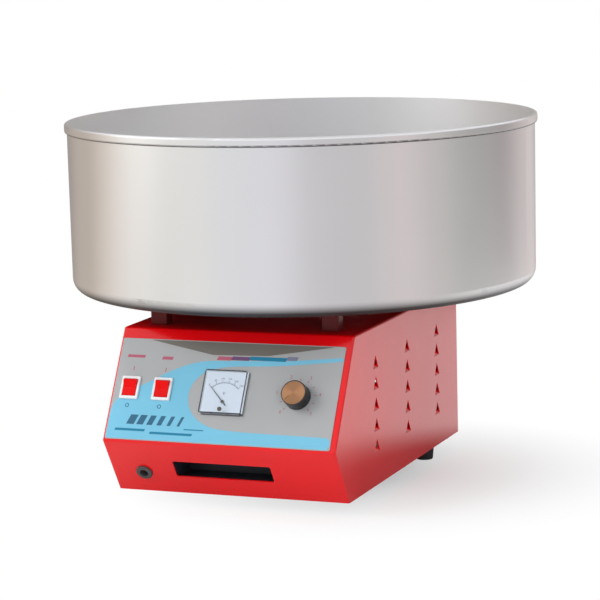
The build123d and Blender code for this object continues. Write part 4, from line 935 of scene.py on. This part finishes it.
# ---------------------------------------------------------------------- meter
class FLOSS_OT_fit_meter(bpy.types.Operator):
    """Fits the panel meter: printed dial, mask, pointer and clear cover"""

    bl_idname = "floss.fit_meter"
    bl_label = "Fit the Meter"

    def execute(self, context):
        meter = settings("meter")
        place = panel_frame(settings("panel").lean)
        x, y = meter.centre_x / MM, meter.centre_up / MM
        pivot = (x, y - meter.pivot_drop / MM)
        radius = meter.scale_radius / MM
        face = finish("Meter dial", meter.face, 0.45, drift=0.02, skin=0.0)
        ink = finish("Meter ink", meter.ink, 0.5, drift=0.05, skin=0.0)
        dress(["meter_dial"], face)
        # A frame round the window, from the dial up to the scale
        left, right, low, high = x - 23.3, x + 22.6, y - 21.6, y + 23.3
        window_x, window_y = 20.9, 17.9
        mask = [
            rectangle(left, low, right, y - window_y),
            rectangle(left, y + window_y, right, high),
            rectangle(left, y - window_y, x - window_x, y + window_y),
            rectangle(x + window_x, y - window_y, right, y + window_y),
        ]
        dial_top, top, ink_top = 1.62, 2.1, 2.1 + 0.06
        add_piece("meter_mask", film("meter_mask", mask, place, dial_top, top), face, "case")
        start, sweep, parts = 135, 90, 4
        marks = [ring_sector(pivot, radius, radius + 0.45, start - sweep, start)]
        steps = meter.divisions * parts
        for n in range(steps + 1):
            tall, wide = (3.0, 0.5) if n % parts == 0 else (1.7, 0.28)
            marks.append(radial_mark(pivot, radius, radius + tall, wide, start - sweep * n / steps))
        add_piece("meter_scale", film("meter_scale", marks, place, top - SUNK, ink_top), ink, "case")
        volts = 50
        angles = [start - sweep * n / meter.divisions for n in range(meter.divisions + 1)]
        words = [(str(volts * n), *around(pivot, radius + 5.0, angle), 2.1) for n, angle in enumerate(angles)]
        words.append(("V", x, pivot[1] + 9.0, 3.6))
        add_piece("meter_figures", figures("meter_figures", words, place, ink_top), ink, "case")
        dress(["meter_needle"], finish("Pointer black", (0.02, 0.02, 0.025), 0.45, drift=0.05, skin=0.0))
        dress(["meter_cover"], self.clear_acrylic())
        return {"FINISHED"}

    def clear_acrylic(self):
        material, tree, shader = new_material("Clear acrylic")
        shader.inputs["Base Color"].default_value = (0.95, 0.98, 1.0, 1.0)
        shader.inputs["Roughness"].default_value = 0.03
        shader.inputs["IOR"].default_value = 1.46
        shader.inputs["Transmission Weight"].default_value = 1.0
        # Light falls through the cover on to the dial
        path = tree.nodes.new("ShaderNodeLightPath")
        through = maths(tree, "MAXIMUM", path.outputs["Is Shadow Ray"], path.outputs["Is Diffuse Ray"])
        tree.links.new(maths(tree, "MULTIPLY_ADD", through, -0.92, 1.0), shader.inputs["Alpha"])
        return material


# ----------------------------------------------------------------------- knob
class FLOSS_OT_fit_knob(bpy.types.Operator):
    """Finishes the heat knob: turned brass face and black fluted skirt"""

    bl_idname = "floss.fit_knob"
    bl_label = "Fit the Knob"

    def execute(self, context):
        knob = settings("knob")
        place = panel_frame(settings("panel").lean)
        face_height = 0.015
        centre = place @ Vector((knob.centre_x, knob.centre_up, face_height))
        axis = place.to_3x3() @ Vector(UPRIGHT)
        brass = turned_finish(
            "Turned brass", knob.brass, 0.36, centre, axis, 5200.0, 0.000012, 0.95, drift=0.03, streaks=0.3
        )
        skirt = finish("Black moulding", knob.skirt, 0.35, rub=0.3, rub_width=0.0006, rub_colour=(0.1, 0.1, 0.1))
        dress(["knob_cap"], brass)
        dress(["regulator_knob"], skirt)
        return {"FINISHED"}


# ------------------------------------------------------------ head and motor
class FLOSS_OT_fit_head(bpy.types.Operator):
    """Finishes the spinning head: cast discs, slotted band, heater and its posts"""

    bl_idname = "floss.fit_head"
    bl_label = "Fit the Spinning Head"

    def execute(self, context):
        cast = turned_finish("Machined casting", (0.70, 0.69, 0.68), 0.34, MIDDLE, UPRIGHT, 2400.0, 0.00002, 0.3)
        band = turned_finish("Stainless band", (0.66, 0.65, 0.64), 0.22, MIDDLE, UPRIGHT, 1500.0, 0.000006, 0.4)
        ribbon = finish("Heater ribbon", (0.30, 0.26, 0.24), 0.42, metallic=1.0, drift=0.18, drift_scale=60)
        ceramic = finish("Unglazed ceramic", (0.76, 0.72, 0.64), 0.75, drift=0.05, skin=0.00004, specular=0.3)
        dress(["head_base", "head_lid"], cast)
        dress(["head_band"], band)
        dress(["heater_element"], ribbon)
        dress(["heater_posts"], ceramic)
        return {"FINISHED"}


class FLOSS_OT_fit_running_gear(bpy.types.Operator):
    """Finishes the motor, the slip rings and the parts behind the panel"""

    bl_idname = "floss.fit_running_gear"
    bl_label = "Fit the Running Gear"

    def execute(self, context):
        casting = finish("Rough casting", (0.52, 0.52, 0.53), 0.5, metallic=1.0, skin=0.00012, skin_scale=900.0)
        stack = finish("Stacked laminations", (0.22, 0.22, 0.24), 0.5, metallic=1.0, drift=0.1, drift_scale=80)
        copper = finish(
            "Enamelled copper", (0.62, 0.24, 0.09), 0.32, metallic=1.0, skin=0.0002, skin_scale=700.0, coat=0.6
        )
        bakelite = finish("Brown laminate", (0.11, 0.045, 0.022), 0.45, drift=0.12, drift_scale=40)
        carbon = finish("Graphite", (0.03, 0.03, 0.032), 0.6, drift=0.1)
        ground = turned_finish("Ground steel", (0.56, 0.56, 0.57), 0.2, MIDDLE, UPRIGHT, 3000.0, 0.000005, 0.5)
        rings = turned_finish("Running brass", (0.72, 0.47, 0.20), 0.22, MIDDLE, UPRIGHT, 4000.0, 0.00001, 0.6)
        dress(["motor_housing", "motor_end_cover"], casting)
        dress(["stator_core", "rotor_core"], stack)
        dress(["stator_windings"], copper)
        dress(["slip_ring_hub", "brush_holder"], bakelite)
        dress(["carbon_brushes"], carbon)
        dress(["upper_bearing", "lower_bearing", "motor_shaft", "meter_magnet", "regulator_spindle"], ground)
        dress(["slip_rings", "brush_spring"], rings)
        return {"FINISHED"}


class FLOSS_OT_fit_rubber_and_screws(bpy.types.Operator):
    """Finishes the rubber, the black mouldings, the zinc plate and the screws"""

    bl_idname = "floss.fit_rubber_and_screws"
    bl_label = "Fit Rubber and Screws"

    def execute(self, context):
        rubber = finish(
            "Black rubber", (0.018, 0.018, 0.019), 0.62, drift=0.12, drift_scale=50, skin=0.00006, skin_scale=900.0
        )
        moulded = finish("Black texture moulding", (0.024, 0.026, 0.038), 0.42, skin=0.00005, skin_scale=1400.0)
        plate = finish("Zinc coated sheet", (0.60, 0.61, 0.63), 0.38, metallic=1.0, drift=0.12, drift_scale=28, rub=0.4)
        screws = finish("Bright zinc screws", (0.68, 0.67, 0.64), 0.26, metallic=1.0, drift=0.08, drift_scale=120)
        grommet = finish("Grey rubber", (0.07, 0.062, 0.06), 0.5, drift=0.12, drift_scale=80, skin=0.00004)
        slotted = finish("Slotted zero screw", (0.10, 0.095, 0.07), 0.5, drift=0.08)
        feet = ["foot_front_left", "foot_front_right", "foot_rear_left", "foot_rear_right"]
        dress(feet + ["motor_mounts", "post_pads"], rubber)
        dress(["cord_grommet"], grommet)
        dress(["meter_zero_screw"], slotted)
        dress(["grip_cup", "meter_body", "regulator_body"], moulded)
        dress(["base_plate", "motor_plate"], plate)
        bolts = ["base_screws", "rear_screws", "foot_screws", "motor_screws", "post_studs", "head_fasteners"]
        dress(bolts + ["regulator_nut"], screws)
        return {"FINISHED"}


# -------------------------------------------------------------------- sidebar
STEPS = (
    FLOSS_OT_set_stage,
    FLOSS_OT_spin_bowl,
    FLOSS_OT_enamel_case,
    FLOSS_OT_print_panel,
    FLOSS_OT_fit_switches,
    FLOSS_OT_fit_meter,
    FLOSS_OT_fit_knob,
    FLOSS_OT_fit_head,
    FLOSS_OT_fit_running_gear,
    FLOSS_OT_fit_rubber_and_screws,
)


class FLOSS_PT_machine(bpy.types.Panel):
    """Sizes, colours and steps of the candy floss machine"""

    bl_idname = "FLOSS_PT_machine"
    bl_label = "Candy Floss Machine"
    bl_space_type = "VIEW_3D"
    bl_region_type = "UI"
    bl_category = "Candy Floss"

    def draw(self, context):
        layout = self.layout
        for step in STEPS:
            layout.operator(step.bl_idname)
        for name, (group, title) in GROUPS.items():
            box = layout.box()
            box.label(text=title)
            for label in group.__annotations__:
                box.prop(settings(name), label)


GROUPS = {
    "bowl": (BowlFinish, "Bowl"),
    "case": (CaseFinish, "Case"),
    "panel": (PanelPrint, "Panel print"),
    "meter": (MeterFace, "Meter"),
    "knob": (KnobFinish, "Knob"),
    "light": (StudioLight, "Studio"),
}


def register():
    for group, _ in GROUPS.values():
        bpy.utils.register_class(group)
    for step in STEPS:
        bpy.utils.register_class(step)
    bpy.utils.register_class(FLOSS_PT_machine)
    for name, (group, _) in GROUPS.items():
        setattr(bpy.types.Scene, "floss_" + name, PointerProperty(type=group))


def unregister():
    for name in GROUPS:
        delattr(bpy.types.Scene, "floss_" + name)
    bpy.utils.unregister_class(FLOSS_PT_machine)
    for step in reversed(STEPS):
        bpy.utils.unregister_class(step)
    for group, _ in GROUPS.values():
        bpy.utils.unregister_class(group)


def main():
    register()
    for step in STEPS:
        family, action = step.bl_idname.split(".")
        getattr(getattr(bpy.ops, family), action)()


if __name__ == "__main__":
    main()
